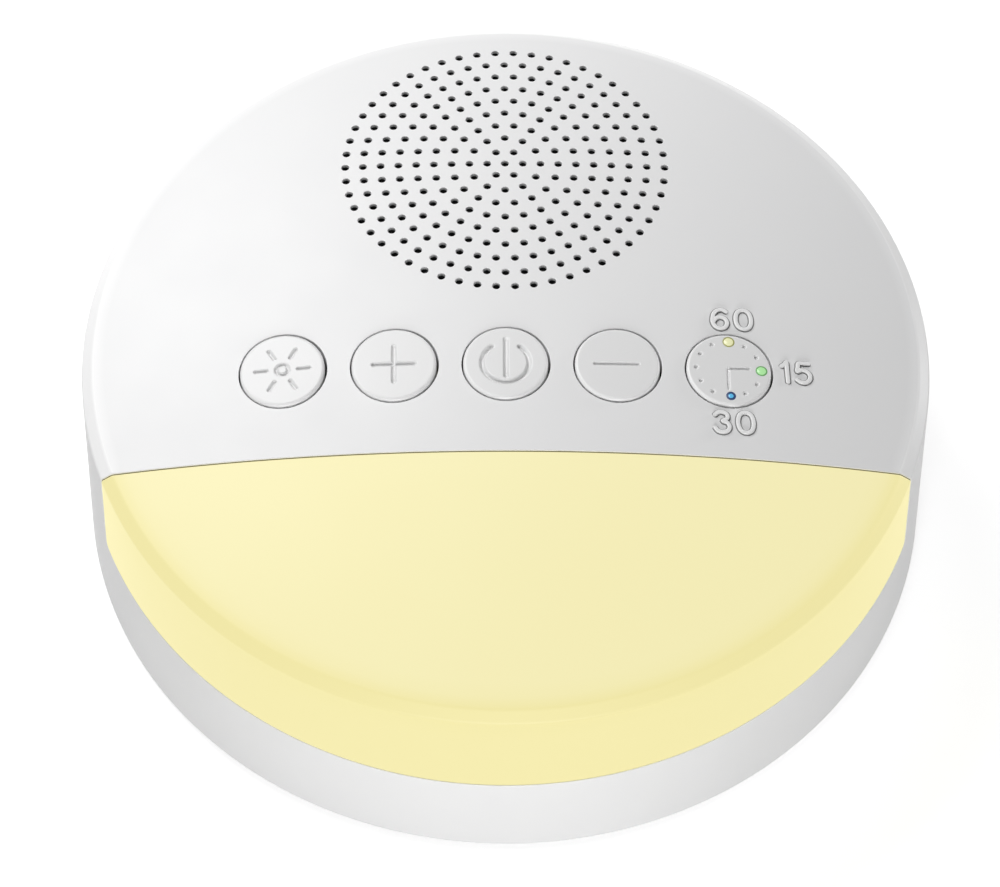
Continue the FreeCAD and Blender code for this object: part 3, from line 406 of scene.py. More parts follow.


# Named finishes of the sound machine
# The casing's near-white edge colour paints a highlight along the bevel.
WHITE = Finish("casing white", grey(0.80), (0.785, 0.785, 0.79), edge=grey(0.97), rub=0.8,
               gloss=(0.42, 0.5), relief=0.0015)
# The keys take the lighter default edge colour on their rims: a painted highlight.
KEY_WHITE = Finish("key white", grey(0.78), grey(0.77), gloss=(0.38, 0.46), relief=0.0012)
# Numerals lighter than the casing are a painted highlight; their dark edge colour is painted shade round their
# feet.
NUMERAL_LIGHT_AND_SHADE = Finish("numeral white", grey(0.86), grey(0.84), edge=grey(0.2), rub=0.95,
                       gloss=(0.38, 0.46))
# The lens's darker edge colour is painted shade on its fold and, a little less, on its side.
GLOWING_LENS = Finish("warm lens", (0.104, 0.0972, 0.054), (0.104, 0.0956, 0.0516),
                      edge=(0.0982, 0.0884, 0.0374), gloss=(0.5, 0.58), relief=0.001, mottle_size=30.0, glow=7.4)
# Near-black paint on the grille holes' walls below their white lip: painted shade.
HOLE_SHADE = Finish("grille lining", (0.012, 0.012, 0.013), (0.02, 0.02, 0.022), gloss=(0.8, 0.9),
                relief=0.004, grain=0.2)
SEAM = Finish("seam shade", (0.20, 0.19, 0.13), (0.17, 0.16, 0.11), gloss=(0.7, 0.85), relief=0.002)
RUBBER = Finish("foot rubber", grey(0.13), grey(0.10), gloss=(0.7, 0.85), relief=0.02, grain=0.5)
FOAM = Finish("gasket foam", grey(0.05), grey(0.03), gloss=(0.85, 0.95), relief=0.08, grain=0.4)
STEEL = Finish("plated steel", (0.56, 0.57, 0.58), (0.48, 0.49, 0.50), gloss=(0.22, 0.38),
               pattern=Pattern.BRUSHED, relief=0.004, metallic=1.0, mottle_size=2.0)
SOCKET_STEEL = Finish("socket steel", (0.62, 0.62, 0.61), (0.54, 0.54, 0.53), gloss=(0.2, 0.35),
                      pattern=Pattern.BRUSHED, relief=0.003, metallic=1.0, mottle_size=3.0)
BASKET = Finish("pressed basket", (0.50, 0.51, 0.52), (0.42, 0.43, 0.44), gloss=(0.3, 0.45),
                pattern=Pattern.TURNED, grain=0.8, relief=0.01, metallic=1.0, centre=(0.0, 31.0))
FERRITE = Finish("magnet ferrite", (0.07, 0.07, 0.075), (0.045, 0.045, 0.05), gloss=(0.5, 0.7),
                 relief=0.02, grain=0.6)
BOARD_GREEN = Finish("green board", (0.025, 0.16, 0.06), (0.02, 0.13, 0.05), gloss=(0.25, 0.35),
                     pattern=Pattern.TRACES, grain=9.0, relief=0.03, coat=0.4)
BOARD_WHITE = Finish("white board", (0.72, 0.73, 0.72), (0.66, 0.67, 0.66), gloss=(0.3, 0.4),
                     pattern=Pattern.TRACES, grain=9.0, relief=0.02, coat=0.2)
CHIP = Finish("chip black", (0.022, 0.022, 0.024), (0.03, 0.03, 0.032), gloss=(0.5, 0.65),
              relief=0.01, grain=0.2)
SWITCH_BLACK = Finish("switch black", grey(0.03), grey(0.04), gloss=(0.4, 0.55), relief=0.006)
PLUNGER = Finish("plunger plastic", (0.55, 0.53, 0.50), (0.50, 0.48, 0.45), gloss=(0.4, 0.5), relief=0.005)
CAN = Finish("capacitor can", (0.60, 0.61, 0.62), (0.52, 0.53, 0.55), gloss=(0.25, 0.4),
             pattern=Pattern.BRUSHED, relief=0.004, metallic=1.0)
PLUG = Finish("plug white", (0.74, 0.72, 0.66), (0.70, 0.68, 0.62), gloss=(0.4, 0.5), relief=0.005)
LAMP = Finish("lamp lens", (0.90, 0.86, 0.60), (0.86, 0.80, 0.50), gloss=(0.15, 0.25), relief=0.002, glow=0.5)
ROLL = Finish("surround rubber", grey(0.03), grey(0.045), gloss=(0.5, 0.65), relief=0.006)
SPIDER = Finish("spider cloth", (0.42, 0.26, 0.10), (0.34, 0.20, 0.07), gloss=(0.75, 0.9),
                pattern=Pattern.WOVEN, grain=0.5, relief=0.06)
CONE = Finish("cone paper", (0.045, 0.045, 0.048), (0.07, 0.068, 0.066), gloss=(0.7, 0.85),
              pattern=Pattern.FIBRE, grain=0.7, relief=0.05, mottle_size=1.2)
CLOTH = Finish("grille cloth", (0.022, 0.022, 0.024), (0.035, 0.035, 0.038), gloss=(0.85, 0.95),
               pattern=Pattern.WOVEN, grain=0.35, relief=0.08)
COIL = Finish("coil copper", (0.60, 0.25, 0.11), (0.48, 0.18, 0.08), gloss=(0.25, 0.4),
              pattern=Pattern.MOULDED, grain=0.2, relief=0.01, metallic=1.0)
REFLECTOR = Finish("reflector white", (0.84, 0.84, 0.82), (0.80, 0.80, 0.78), gloss=(0.25, 0.35),
                   relief=0.003)
CELL = Finish("cell wrap", (0.05, 0.13, 0.30), (0.04, 0.10, 0.25), gloss=(0.25, 0.35), relief=0.01, grain=1.2)
NICKEL = Finish("contact nickel", (0.62, 0.59, 0.52), (0.54, 0.51, 0.45), gloss=(0.2, 0.35),
                pattern=Pattern.BRUSHED, relief=0.004, metallic=1.0)
INSULATION = Finish("lead insulation", (0.50, 0.03, 0.025), (0.42, 0.02, 0.02), gloss=(0.35, 0.5),
                    relief=0.01)
YELLOW_WINDOW = Finish("yellow window", (0.86, 0.86, 0.52), (0.82, 0.82, 0.45), gloss=(0.15, 0.25),
                       relief=0.002, glow=0.1)
GREEN_WINDOW = Finish("green window", (0.46, 0.86, 0.40), (0.40, 0.80, 0.34), gloss=(0.15, 0.25),
                      relief=0.002, glow=0.1)
BLUE_WINDOW = Finish("blue window", (0.10, 0.52, 0.85), (0.07, 0.45, 0.80), gloss=(0.12, 0.2),
                     relief=0.002, glow=0.1)
YELLOW_RIM = Finish("yellow rim", (0.36, 0.36, 0.10), (0.30, 0.30, 0.08), gloss=(0.25, 0.35), relief=0.002)
GREEN_RIM = Finish("green rim", (0.14, 0.40, 0.12), (0.11, 0.34, 0.10), gloss=(0.25, 0.35), relief=0.002)
BLUE_RIM = Finish("blue rim", (0.005, 0.045, 0.16), (0.004, 0.035, 0.13), gloss=(0.2, 0.3), relief=0.002)

KEYS = ("light", "volume_up", "power", "volume_down", "timer")
CARRIED_FINISHES = {
    "bottom_cover": WHITE, "main_board": BOARD_GREEN, "charge_board": BOARD_GREEN, "light_board": BOARD_WHITE,
    "control_chips": CHIP, "charge_parts": CHIP, "capacitors": CAN, "lead_connectors": PLUG,
    "speaker_gasket": FOAM, "speaker_basket": BASKET, "speaker_surround": ROLL, "speaker_cone": CONE,
    "dust_cap": CONE, "voice_coil": COIL, "speaker_spider": SPIDER, "speaker_magnet": FERRITE,
    "speaker_terminals": PLUNGER, "grille_cloth": CLOTH, "light_reflector": REFLECTOR, "battery_cell": CELL,
    "battery_contacts": NICKEL, "usb_shell": SOCKET_STEEL,
    **dict.fromkeys(("switch_bodies", "battery_holder", "usb_tongue"), SWITCH_BLACK),
    **dict.fromkeys(("timer_leds", "night_light_leds"), LAMP),
    **dict.fromkeys(("board_screws", "speaker_screws", "light_board_screws", "charge_board_screws",
                     "speaker_top_plate", "speaker_yoke"), STEEL),
    **dict.fromkeys([f"{end}_lead" for end in ("speaker", "charge", "light", "battery")], INSULATION),
    **dict.fromkeys([f"{key}_switch_plunger" for key in KEYS], PLUNGER),
}


# Mesh building


def dome(x: Array, y: Array | float = 0.0, proud: float = 0.0) -> Array:
    """Gives the dome's height at places in plan, raised by a distance."""
    return DOME_CENTRE + np.sqrt((DOME_RADIUS + proud) ** 2 - x ** 2 - y ** 2)


def circle(count: int) -> Array:
    """Gives even angles round a circle."""
    return np.arange(count) * math.tau / count


def show(name: str, data: bpy.types.ID) -> Piece:
    """Puts an object with a mesh, a lamp or a camera into the scene."""
    made = bpy.data.objects.new(name, data)
    bpy.context.scene.collection.objects.link(made)
    return made


def centre_of(node: str) -> tuple[float, float]:
    """Gives the middle of a node in plan, in millimetres."""
    low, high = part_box(node)
    return (low.x + high.x) / 2 / MM, (low.y + high.y) / 2 / MM


class Skin:
    """Points, normals and faces of one piece, gathered in millimetres."""

    def __init__(self) -> None:
        """Starts an empty skin."""
        self.points: list[Array] = []
        self.normals: list[Array] = []
        self.edges: list[Array] = []
        self.faces: list[Array] = []
        self.slots: list[Array] = []
        self.count = 0

    def add(self, points: Array, normals: Array, edge: float | Array = 0.0) -> Array:
        """Adds points.

        Args:
            points: Places, one row each.
            normals: Their outward directions.
            edge: How much painted highlight or painted shade in the edge colour they take, from 0 to 1, mostly
                along rounded edges.

        Returns:
            The numbers of the new points.
        """
        points = np.asarray(points, float)
        start = self.count
        self.points.append(points)
        self.normals.append(np.broadcast_to(np.asarray(normals, float), points.shape))
        self.edges.append(np.broadcast_to(edge, len(points)))
        self.count += len(points)
        return np.arange(start, self.count)

    def face(self, corners: Array, slot: int = 0) -> None:
        """Adds faces.

        Args:
            corners: Point numbers, one row for each triangle or four-sided face.
            slot: The material's number.
        """
        self.faces.append(np.asarray(corners, int))
        self.slots.append(np.full(len(corners), slot))

    def bridge(self, first: Array, second: Array, closed: bool = True, slot: int = 0) -> None:
        """Joins two rows of points by four-sided faces.

        Args:
            first: Point numbers of one row.
            second: Those of the next.
            closed: Whether the rows run all the way round.
            slot: The material's number.
        """
        a, b = (first, second) if closed else (first[:-1], second[:-1])
        c = np.roll(second, -1) if closed else second[1:]
        d = np.roll(first, -1) if closed else first[1:]
        self.face(np.stack([a, b, c, d], 1), slot)

    def steps(self, centre: tuple[float, float], turn: Array, last: Array, stages: list[tuple]) -> None:
        """Continues a turned piece by bands with sharp ends.

        Args:
            centre: The axis in plan.
            turn: Angles of the points.
            last: The row of places to start from.
            stages: Radius, height and outward direction of each further row.
        """
        cos, sin, even = np.cos(turn), np.sin(turn), np.ones(len(turn))
        for radius, height, out_r, out_z in stages:
            normal = np.stack([cos * out_r, sin * out_r, even * out_z], 1)
            first = self.add(last, normal)
            last = np.stack([centre[0] + radius * cos, centre[1] + radius * sin, even * height], 1)
            self.bridge(first, self.add(last, normal))

    def turned(self, centre: tuple[float, float], count: int, stages: list[tuple],
               proud: float = 0.0) -> None:
        """Adds a turned piece with smooth bands.

        Args:
            centre: The axis in plan.
            count: Points in each row.
            stages: Radius, height and outward direction of each row, and where they aren't 0 and
                False, the material's number and whether the height is counted from the dome. Two
                rows at one place make a sharp edge.
            proud: How far above the dome heights are counted.
        """
        cos, sin, even = np.cos(circle(count)), np.sin(circle(count)), np.ones(count)
        row = place = None
        for radius, height, out_r, out_z, *rest in stages:
            slot, on_dome = rest or (0, False)
            x, y = centre[0] + radius * cos, centre[1] + radius * sin
            z = dome(x, y, proud) + height if on_dome else even * height
            new = self.add(np.stack([x, y, z], 1), np.stack([cos * out_r, sin * out_r, even * out_z], 1))
            if row is not None and place != (radius, height):
                self.bridge(row, new, slot=slot)
            row, place = new, (radius, height)

    def make(self, name: str, body: str, finishes: list[Finish]) -> Piece:
        """Makes the mesh object and lets it ride on its body.

        Args:
            name: The piece's name.
            body: The body that it moves with.
            finishes: Its materials, in slot order.

        Returns:
            The object.
        """
        points = np.concatenate(self.points)
        normals = np.concatenate(self.normals)
        normals = normals / np.maximum(np.linalg.norm(normals, axis=1, keepdims=True), 1e-12)
        faces = []
        for group in self.faces:
            corner = points[group]
            across = np.cross(corner[:, 2] - corner[:, 0], corner[:, -1] - corner[:, 1])
            if group.shape[1] == 3:
                across = np.cross(corner[:, 1] - corner[:, 0], corner[:, 2] - corner[:, 0])
            wrong = np.einsum("ij,ij->i", across, normals[group].sum(1)) < 0
            turned = group.copy()
            turned[wrong] = group[wrong][:, ::-1]
            faces += turned.tolist()
        mesh = bpy.data.meshes.new(name)
        mesh.from_pydata((points * MM).tolist(), [], faces)
        mesh.polygons.foreach_set("use_smooth", np.ones(len(faces), bool))
        mesh.polygons.foreach_set("material_index", np.concatenate(self.slots).astype(np.int32))
        edge = mesh.attributes.new("edge", "FLOAT", "POINT")
        edge.data.foreach_set("value", np.concatenate(self.edges).astype(np.float32))
        mesh.normals_split_custom_set_from_vertices(normals.tolist())
        for finish in finishes:
            mesh.materials.append(finish.material())
        piece = show(name, mesh)
        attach(piece, body)
        log.info("%s: %d points, %d faces, rides on %s", name, len(points), len(faces), body)
        return piece


@dataclass
class Outline:
    """A turned outline, read by the distance along it."""

    radius: Array
    height: Array
    marks: list[float] = field(default_factory=list)

    BEND_ROWS = 9  # rows in each rounding
    CLEAR = 0.05  # least distance of the first curve from the first rounding

    def __post_init__(self) -> None:
        """Works out lengths and outward directions."""
        dr = np.gradient(self.radius)
        dz = np.gradient(self.height)
        length = np.hypot(dr, dz)
        self.out_r = -dz / length
        self.out_z = dr / length
        steps = np.hypot(np.diff(self.radius), np.diff(self.height))
        self.length = np.concatenate([[0.0], np.cumsum(steps)])

    @classmethod
    def through(cls, corners: list[tuple[float, float, float]], start_r: list[float],
                start_z: list[float]) -> "Outline":
        """Continues a curve through rounded corners.

        Args:
            corners: Radius, height and rounding of each further corner.
            start_r: Radii of the first curve.
            start_z: Its heights.

        Returns:
            The outline, with marks at the ends and middle of each rounding.
        """
        radii, heights = list(start_r), list(start_z)
        marked: list[int] = []
        here = np.array([radii[-1], heights[-1]])
        points = [here] + [np.array(c[:2]) for c in corners]
        rounds = [corners[0][2]] + [c[2] for c in corners]
        before = here - np.array([radii[-2], heights[-2]])
        radii, heights = radii[:-1], heights[:-1]
        for i in range(len(points) - 1):
            ahead = points[i + 1] - points[i]
            back = before / np.linalg.norm(before)
            on = ahead / np.linalg.norm(ahead)
            share = np.linspace(0, 1, cls.BEND_ROWS)[:, None]
            a, b = points[i] - back * rounds[i], points[i] + on * rounds[i]
            bend = a * (1 - share) ** 2 + 2 * points[i] * share * (1 - share) + b * share ** 2
            while radii and i == 0 and radii[-1] > a[0] - cls.CLEAR:
                radii.pop()
                heights.pop()
            marked += [len(radii) + k for k in range(0, cls.BEND_ROWS, 2)]
            radii += bend[:, 0].tolist()
            heights += bend[:, 1].tolist()
            before = ahead
        radii.append(float(points[-1][0]))
        heights.append(float(points[-1][1]))
        made = cls(np.array(radii), np.array(heights))
        made.marks = [float(made.length[k]) for k in marked]
        return made

    def along(self, radius: Array) -> Array:
        """Gives the distance along the rising part of the outline at a radius."""
        top = int(np.argmax(self.radius)) + 1
        return np.interp(radius, self.radius[:top], self.length[:top])

    def radius_at(self, s: Array) -> Array:
        """Gives the radius at a distance along the outline."""
        return np.interp(s, self.length, self.radius)

    def lift(self, s: Array, theta: Array) -> Edge:
        """Turns distance and angle into a point and its outward direction.

        Args:
            s: Distances along the outline.
            theta: Angles round the axis.

        Returns:
            Points and directions, one row each.
        """
        radius, height = self.radius_at(s), np.interp(s, self.length, self.height)
        out_r, out_z = np.interp(s, self.length, self.out_r), np.interp(s, self.length, self.out_z)
        cos, sin = np.cos(theta), np.sin(theta)
        point = np.stack([radius * cos, radius * sin, height], -1)
        out = np.stack([out_r * cos, out_r * sin, out_z], -1)
        return point, out / np.linalg.norm(out, axis=-1, keepdims=True)


@dataclass
class Rim:
    """A closed edge on a turned surface, from which the wall folds in."""

    s: Array
    theta: Array
    void_inside: bool = True
    rounding: float = 0.2
    depth: float = 2.0
    down: tuple[float, float, float] | None = None
    rows: int = 4
    # Depth below which the wall takes the rim's slot finish, a painted shade.
    lining: float | None = None
    slot: int = 1

    def sideways(self, outline: Outline) -> Edge:
        """Gives the direction towards the void, along the outline and round it."""
        radius = outline.radius_at(self.s)
        step_s = np.roll(self.s, -1) - np.roll(self.s, 1)
        step_t = np.unwrap(np.stack([np.roll(self.theta, 1), np.roll(self.theta, -1)]), axis=0)
        across = (step_t[1] - step_t[0]) * radius
        length = np.hypot(step_s, across)
        side = 1.0 if self.void_inside else -1.0
        return -across / length * side, step_s / length * side

    def moved(self, outline: Outline, reach: float) -> Edge:
        """Gives the edge moved towards the void.

        Args:
            outline: The surface.
            reach: How far, in millimetres.

        Returns:
            Distances and angles of the moved edge.
        """
        along, round_ = self.sideways(outline)
        radius = np.maximum(outline.radius_at(self.s), 1e-6)
        return self.s + along * reach, self.theta + round_ * reach / radius

    def untangled(self, outline: Outline, reach: float) -> "Rim":
        """Leaves out the points that would change order when the edge is moved.

        Args:
            outline: The surface.
            reach: How far the edge is going to be moved, in millimetres.

        Returns:
            The edge without them.
        """
        steps = []
        for s, theta in ((self.s, self.theta), self.moved(outline, reach)):
            place = np.stack([s * np.cos(theta), s * np.sin(theta)], 1)
            steps.append(np.roll(place, -1, 0) - place)
        keep = np.einsum("ij,ij->i", *steps) > 0
        if keep.all():
            return self
        return replace(self, s=self.s[keep], theta=self.theta[keep]).untangled(outline, reach)


def winds_round(points: Array, polygon: Array) -> Array:
    """Tells which points lie inside a polygon.

    Args:
        points: Points, one row each.
        polygon: The polygon's corners.

    Returns:
        True for each point inside.
    """
    x, y = points[:, :1], points[:, 1:]
    ax, ay = polygon[:, 0], polygon[:, 1]
    bx, by = np.roll(ax, -1), np.roll(ay, -1)
    crosses = (ay > y) != (by > y)
    rise = np.where(by == ay, 1e-12, by - ay)
    return (crosses & (x < (bx - ax) * (y - ay) / rise + ax)).sum(1) % 2 == 1


@dataclass
class Sheet:
    """A wall of even thickness on a turned surface, with rounded rims round its edge and openings."""

    outline: Outline
    thickness: float
    inner_radius: float
    rims: list[Rim] = field(default_factory=list)
    # tint gives the edge value along the outline: painted highlight or painted shade on the bevel.
    tint: tuple[list[float], list[float]] = ([0.0], [0.0])
    loose: list[Edge] = field(default_factory=list)

    CLEAR = 0.3  # least distance of a loose point from a rim

    def scatter(self, s: float, count: int, turn: float = 0.0) -> None:
        """Adds a ring of points at one distance along the outline."""
        self.loose.append((np.full(count, s), circle(count) + turn * math.tau / count))

    def inner(self, points: Array, out: Array) -> Array:
        """Moves points through the wall to its inner face."""
        moved = points - out * self.thickness
        reach = np.hypot(moved[:, 0], moved[:, 1])
        shrink = np.minimum(1.0, self.inner_radius / np.maximum(reach, 1e-9))
        moved[:, :2] *= shrink[:, None]
        roof = dome(np.minimum(reach, self.inner_radius), proud=-self.thickness)
        moved[:, 2] = np.minimum(moved[:, 2], roof)
        return moved

    def build(self, skin: Skin) -> None:
        """Adds the outer face, the rims and the inner face to a skin."""
        flat: list[Array] = []
        places: list[Edge] = []
        marks: list[Array] = []
        edges: list[tuple[int, int]] = []
        start = 0
        for number, rim in enumerate(self.rims):
            s, theta = rim.moved(self.outline, -rim.rounding)
            places.append((s, theta))
            flat.append(np.stack([s * np.cos(theta), s * np.sin(theta)], 1))
            marks.append(np.full(len(s), number))
            edges += [(start + i, start + (i + 1) % len(s)) for i in range(len(s))]
            start += len(s)
        loose_s, loose_theta = (np.concatenate(part) for part in zip(*self.loose))
        loose = np.stack([loose_s * np.cos(loose_theta), loose_s * np.sin(loose_theta)], 1)
        keep = np.ones(len(loose), bool)
        for rim, polygon in zip(self.rims, flat):
            inside = winds_round(loose, polygon)
            keep &= ~inside if rim.void_inside else inside
            lo, hi = polygon.min(0) - 1.0, polygon.max(0) + 1.0
            close = np.flatnonzero(((loose > lo) & (loose < hi)).all(1) & keep)
            gap = np.linalg.norm(loose[close, None] - polygon[None], axis=2).min(1)
            keep[close[gap < self.CLEAR]] = False
        places.append((loose_s[keep], loose_theta[keep]))
        flat.append(loose[keep])
        marks.append(np.full(int(keep.sum()), -1))
        plane, mark = np.concatenate(flat), np.concatenate(marks)
        s, theta = (np.concatenate(part) for part in zip(*places))
        result = delaunay_2d_cdt([Vector(p) for p in plane], edges, [], 0, 1e-7, True)
        origin = np.array([o[0] if o else -1 for o in result[3]])
        triangles = origin[np.array([f for f in result[2] if len(f) == 3])]
        triangles = triangles[(triangles >= 0).all(1)]
        middle = plane[triangles].mean(1)
        same = (mark[triangles] == mark[triangles[:, :1]]).all(1) & (mark[triangles[:, 0]] >= 0)
        for number, rim in enumerate(self.rims):
            mine = np.flatnonzero(same & (mark[triangles[:, 0]] == number))
            inside = winds_round(middle[mine], flat[number])
            same[mine] = inside if rim.void_inside else ~inside
        triangles = triangles[~same]
        points, out = self.outline.lift(s, theta)
        top = skin.add(points, out, np.interp(s, *self.tint))
        skin.face(top[triangles])
        under_points = self.inner(points, out)
        start = 0
        for rim in self.rims:
            count = len(rim.s)
            row = top[start:start + count]
            under_points[start:start + count] = self.fold(skin, rim, row)
            start += count
        under = skin.add(under_points, -out)
        skin.face(under[triangles])

    def fold(self, skin: Skin, rim: Rim, row: Array) -> Array:
        """Rounds the wall's edge and takes it down.

        Args:
            skin: Where the faces go.
            rim: The edge.
            row: The outer face's points along it.

        Returns:
            The places where the wall's edge meets its inner face.
        """
        along, round_ = rim.sideways(self.outline)
        for angle in np.linspace(0, math.pi / 2, rim.rows + 1)[1:]:
            s, theta = rim.moved(self.outline, -rim.rounding * (1 - math.sin(angle)))
            point, out = self.outline.lift(s, theta)
            tangent = np.stack([out[:, 2] * np.cos(theta), out[:, 2] * np.sin(theta),
                                -np.hypot(out[:, 0], out[:, 1])], 1)
            circle = np.stack([-np.sin(theta), np.cos(theta), np.zeros(len(theta))], 1)
            side = along[:, None] * tangent + round_[:, None] * circle
            down = -out if rim.down is None else np.broadcast_to(np.array(rim.down), out.shape)
            fall = rim.rounding * (1 - math.cos(angle))
            normal = out * math.cos(angle) + side * math.sin(angle)
            new = skin.add(point + down * fall, normal)
            skin.bridge(row, new)
            row = new
        point, out = self.outline.lift(rim.s, rim.theta)
        down = -out if rim.down is None else np.broadcast_to(np.array(rim.down), out.shape)
        # Below the given depth the wall is painted with the rim's shade finish.
        if rim.lining is not None:
            new = skin.add(point + down * rim.lining, side)
            skin.bridge(row, new)
            row = new
        foot = point + down * rim.depth
        skin.bridge(row, skin.add(foot, side), slot=0 if rim.lining is None else rim.slot)
        return foot


# Sub-assemblies


@dataclass
class Casing:
    """The white domed casing, its night light lens and what shows on them, in millimetres."""

    radius: float = 60.0
    wall: float = 2.0
    foot: float = 1.0
    bevel_top: tuple[float, float] = (58.5, 34.298)
    bevel_foot: float = 32.898
    bevel_round: float = 0.3
    lens_y: float = -19.65
    lens_sill: float = 16.8
    lens_corner: float = 1.2
    lens_gap: float = 0.16
    lens_round: float = 0.2
    grille_y: float = 31.0
    grille_rings: int = 9
    grille_pitch: float = 2.55
    grille_hole: float = 0.56
    # Depth of white wall in each grille hole above the painted shade.
    grille_lip: float = 0.6
    key_bore: float = 6.25
    bore_depth: float = 3.4
    key_row: float = -5.36
    socket: tuple[float, float, float] = (9.64, 3.96, 8.83)
    columns: int = 264
    ring_step: float = 2.0
    wall_step: float = 3.2
    bore_points: int = 120
    hole_points: int = 20

    def outline(self) -> Outline:
        """Gives the dome, bevel and wall as one turned outline."""
        reach = np.linspace(0.0, self.bevel_top[0], 60)
        corners = [(self.radius, level, self.bevel_round) for level in (self.bevel_foot, self.foot)]
        return Outline.through(corners, reach.tolist(), dome(reach).tolist())

    @staticmethod
    def hole(outline: Outline, x: float, y: float, radius: float, count: int) -> Edge:
        """Gives a level circle on the dome as distances and angles."""
        px, py = x + radius * np.cos(circle(count)), y + radius * np.sin(circle(count))
        return outline.along(np.hypot(px, py)), np.arctan2(py, px)

    def lens_edge(self, outline: Outline) -> Edge:
        """Gives the lens opening's edge, counter-clockwise seen from above."""
        deep = -self.lens_y
        half = math.sqrt(self.bevel_top[0] ** 2 - deep ** 2) - 0.4
        chord = np.linspace(0.0, half, 64)
        s_dome = outline.along(np.hypot(chord, deep))
        turn_dome = np.arctan2(self.lens_y, chord)
        s_last = outline.length[-1] - (self.lens_sill - self.foot)
        s_rim = np.array(sorted(set(outline.marks)) + [outline.marks[-1] + 1.0])
        s_rim = s_rim[s_rim > s_dome[-1] + 0.1]
        s_rim = np.unique(np.concatenate([s_rim, np.linspace(s_dome[-1] + 0.15, s_rim[-1], 16)]))
        turn_rim = -np.arcsin(deep / outline.radius_at(s_rim))
        edge_turn = -math.asin(deep / self.radius)
        s_wall = np.linspace(s_rim[-1] + 1.0, s_last - self.lens_corner, 8)
        bend = np.linspace(0, math.pi / 2, 7)[1:]
        s_bend = s_last - self.lens_corner * (1 - np.sin(bend))
        turn_bend = edge_turn - self.lens_corner * (1 - np.cos(bend)) / self.radius
        sill = np.linspace(turn_bend[-1], -math.pi / 2, 60)[1:]
        s = np.concatenate([s_dome, s_rim, s_wall, s_bend, np.full(len(sill), s_last)])
        theta = np.concatenate([turn_dome, turn_rim, np.full(len(s_wall), edge_turn), turn_bend, sill])
        s = np.concatenate([s, s[1:-1][::-1]])
        theta = np.concatenate([theta, -math.pi - theta[1:-1][::-1]])
        return s[::-1], theta[::-1]

    def grille_places(self) -> list[tuple[float, float]]:
        """Gives the middles of the grille's holes."""
        places = [(0.0, self.grille_y)]
        for ring in range(1, self.grille_rings + 1):
            for step in range(6 * ring):
                turn = math.tau * step / (6 * ring)
                places.append((ring * self.grille_pitch * math.cos(turn),
                               self.grille_y + ring * self.grille_pitch * math.sin(turn)))
        return places

    def socket_edge(self, outline: Outline) -> Edge:
        """Gives the charging slot's edge on the back wall."""
        width, height, level = self.socket
        round_, half = height / 2, (width - height) / 2
        turn = np.linspace(-math.pi / 2, math.pi / 2, 17)
        x = np.concatenate([half + round_ * np.cos(turn), np.linspace(half, -half, 9)[1:-1],
                            -half - round_ * np.cos(turn), np.linspace(-half, half, 9)[1:-1]])
        z = np.concatenate([round_ * np.sin(turn), np.full(7, round_), round_ * np.sin(turn)[::-1],
                            np.full(7, -round_)])
        s = outline.length[-1] - (level + z - self.foot)
        theta = math.pi / 2 - np.arcsin(x / self.radius)
        flat_x, flat_y = s * np.cos(theta), s * np.sin(theta)
        clockwise = (flat_x * np.roll(flat_y, -1) - np.roll(flat_x, -1) * flat_y).sum() < 0
        return (s[::-1], theta[::-1]) if clockwise else (s, theta)

    def sheet(self, outline: Outline, tint: tuple[float, ...]) -> Sheet:
        """Gives a bare wall with points spread over its dome, bevel and side.

        Args:
            outline: The outer surface.
            tint: How far from the bevel's ends the edge colour, a painted highlight or painted shade, starts and
                is full, then is full and ends, and the edge value below.

        Returns:
            The wall, without rims.
        """
        sheet = Sheet(outline, self.wall, self.radius - self.wall)
        ends = [outline.marks[0]] * 2 + [outline.marks[-1]] * 2
        sheet.tint = ([end + shift for end, shift in zip(ends, tint)], [0.0, 1.0, 1.0, tint[4]])
        for i, s in enumerate(np.arange(1.2, outline.marks[0] - 0.6, self.ring_step)):
            sheet.scatter(float(s), max(8, round(math.tau * s / self.ring_step)), 0.5 * (i % 2))
        for s in sorted(set(outline.marks)):
            sheet.scatter(s, self.columns)
        for s in np.arange(outline.marks[-1] + 0.8, outline.length[-1] - 0.5, self.wall_step):
            sheet.scatter(float(s), self.columns)
        return sheet

    def build_shell(self, outline: Outline) -> Piece:
        """Builds the shell with its openings."""
        # The tint paints a highlight along the bevel in the casing's lighter edge colour.
        sheet = self.sheet(outline, (-0.1, 0.15, -0.15, 0.1, 0.0))
        foot = np.full(self.columns, outline.length[-1])
        sheet.rims = [Rim(foot, circle(self.columns), False, 0.4, self.wall),
                      Rim(*self.lens_edge(outline), True, 0.14, self.wall, lining=0.16, slot=2)]
        for key in KEYS:
            x = centre_of(f"{key}_button")[0]
            bore = self.hole(outline, x, self.key_row, self.key_bore, self.bore_points)
            sheet.rims.append(Rim(*bore, True, 0.08, self.bore_depth, DOWN))
        for x, y in self.grille_places():
            hole = self.hole(outline, x, y, self.grille_hole, self.hole_points)
            # Below the lip each grille hole's wall is painted dark: painted shade.
            sheet.rims.append(Rim(*hole, True, 0.1, self.wall, DOWN, 3, self.grille_lip))
        sheet.rims.append(Rim(*self.socket_edge(outline), True, 0.25, self.wall, (0.0, -1.0, 0.0)))
        skin = Skin()
        sheet.build(skin)
        shell = skin.make("casing_shell", CASING, [WHITE, HOLE_SHADE, SEAM])
        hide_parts("main_shell")
        return shell

    def build_lens(self, outline: Outline) -> Piece:
        """Builds the night light's lens inside its opening."""
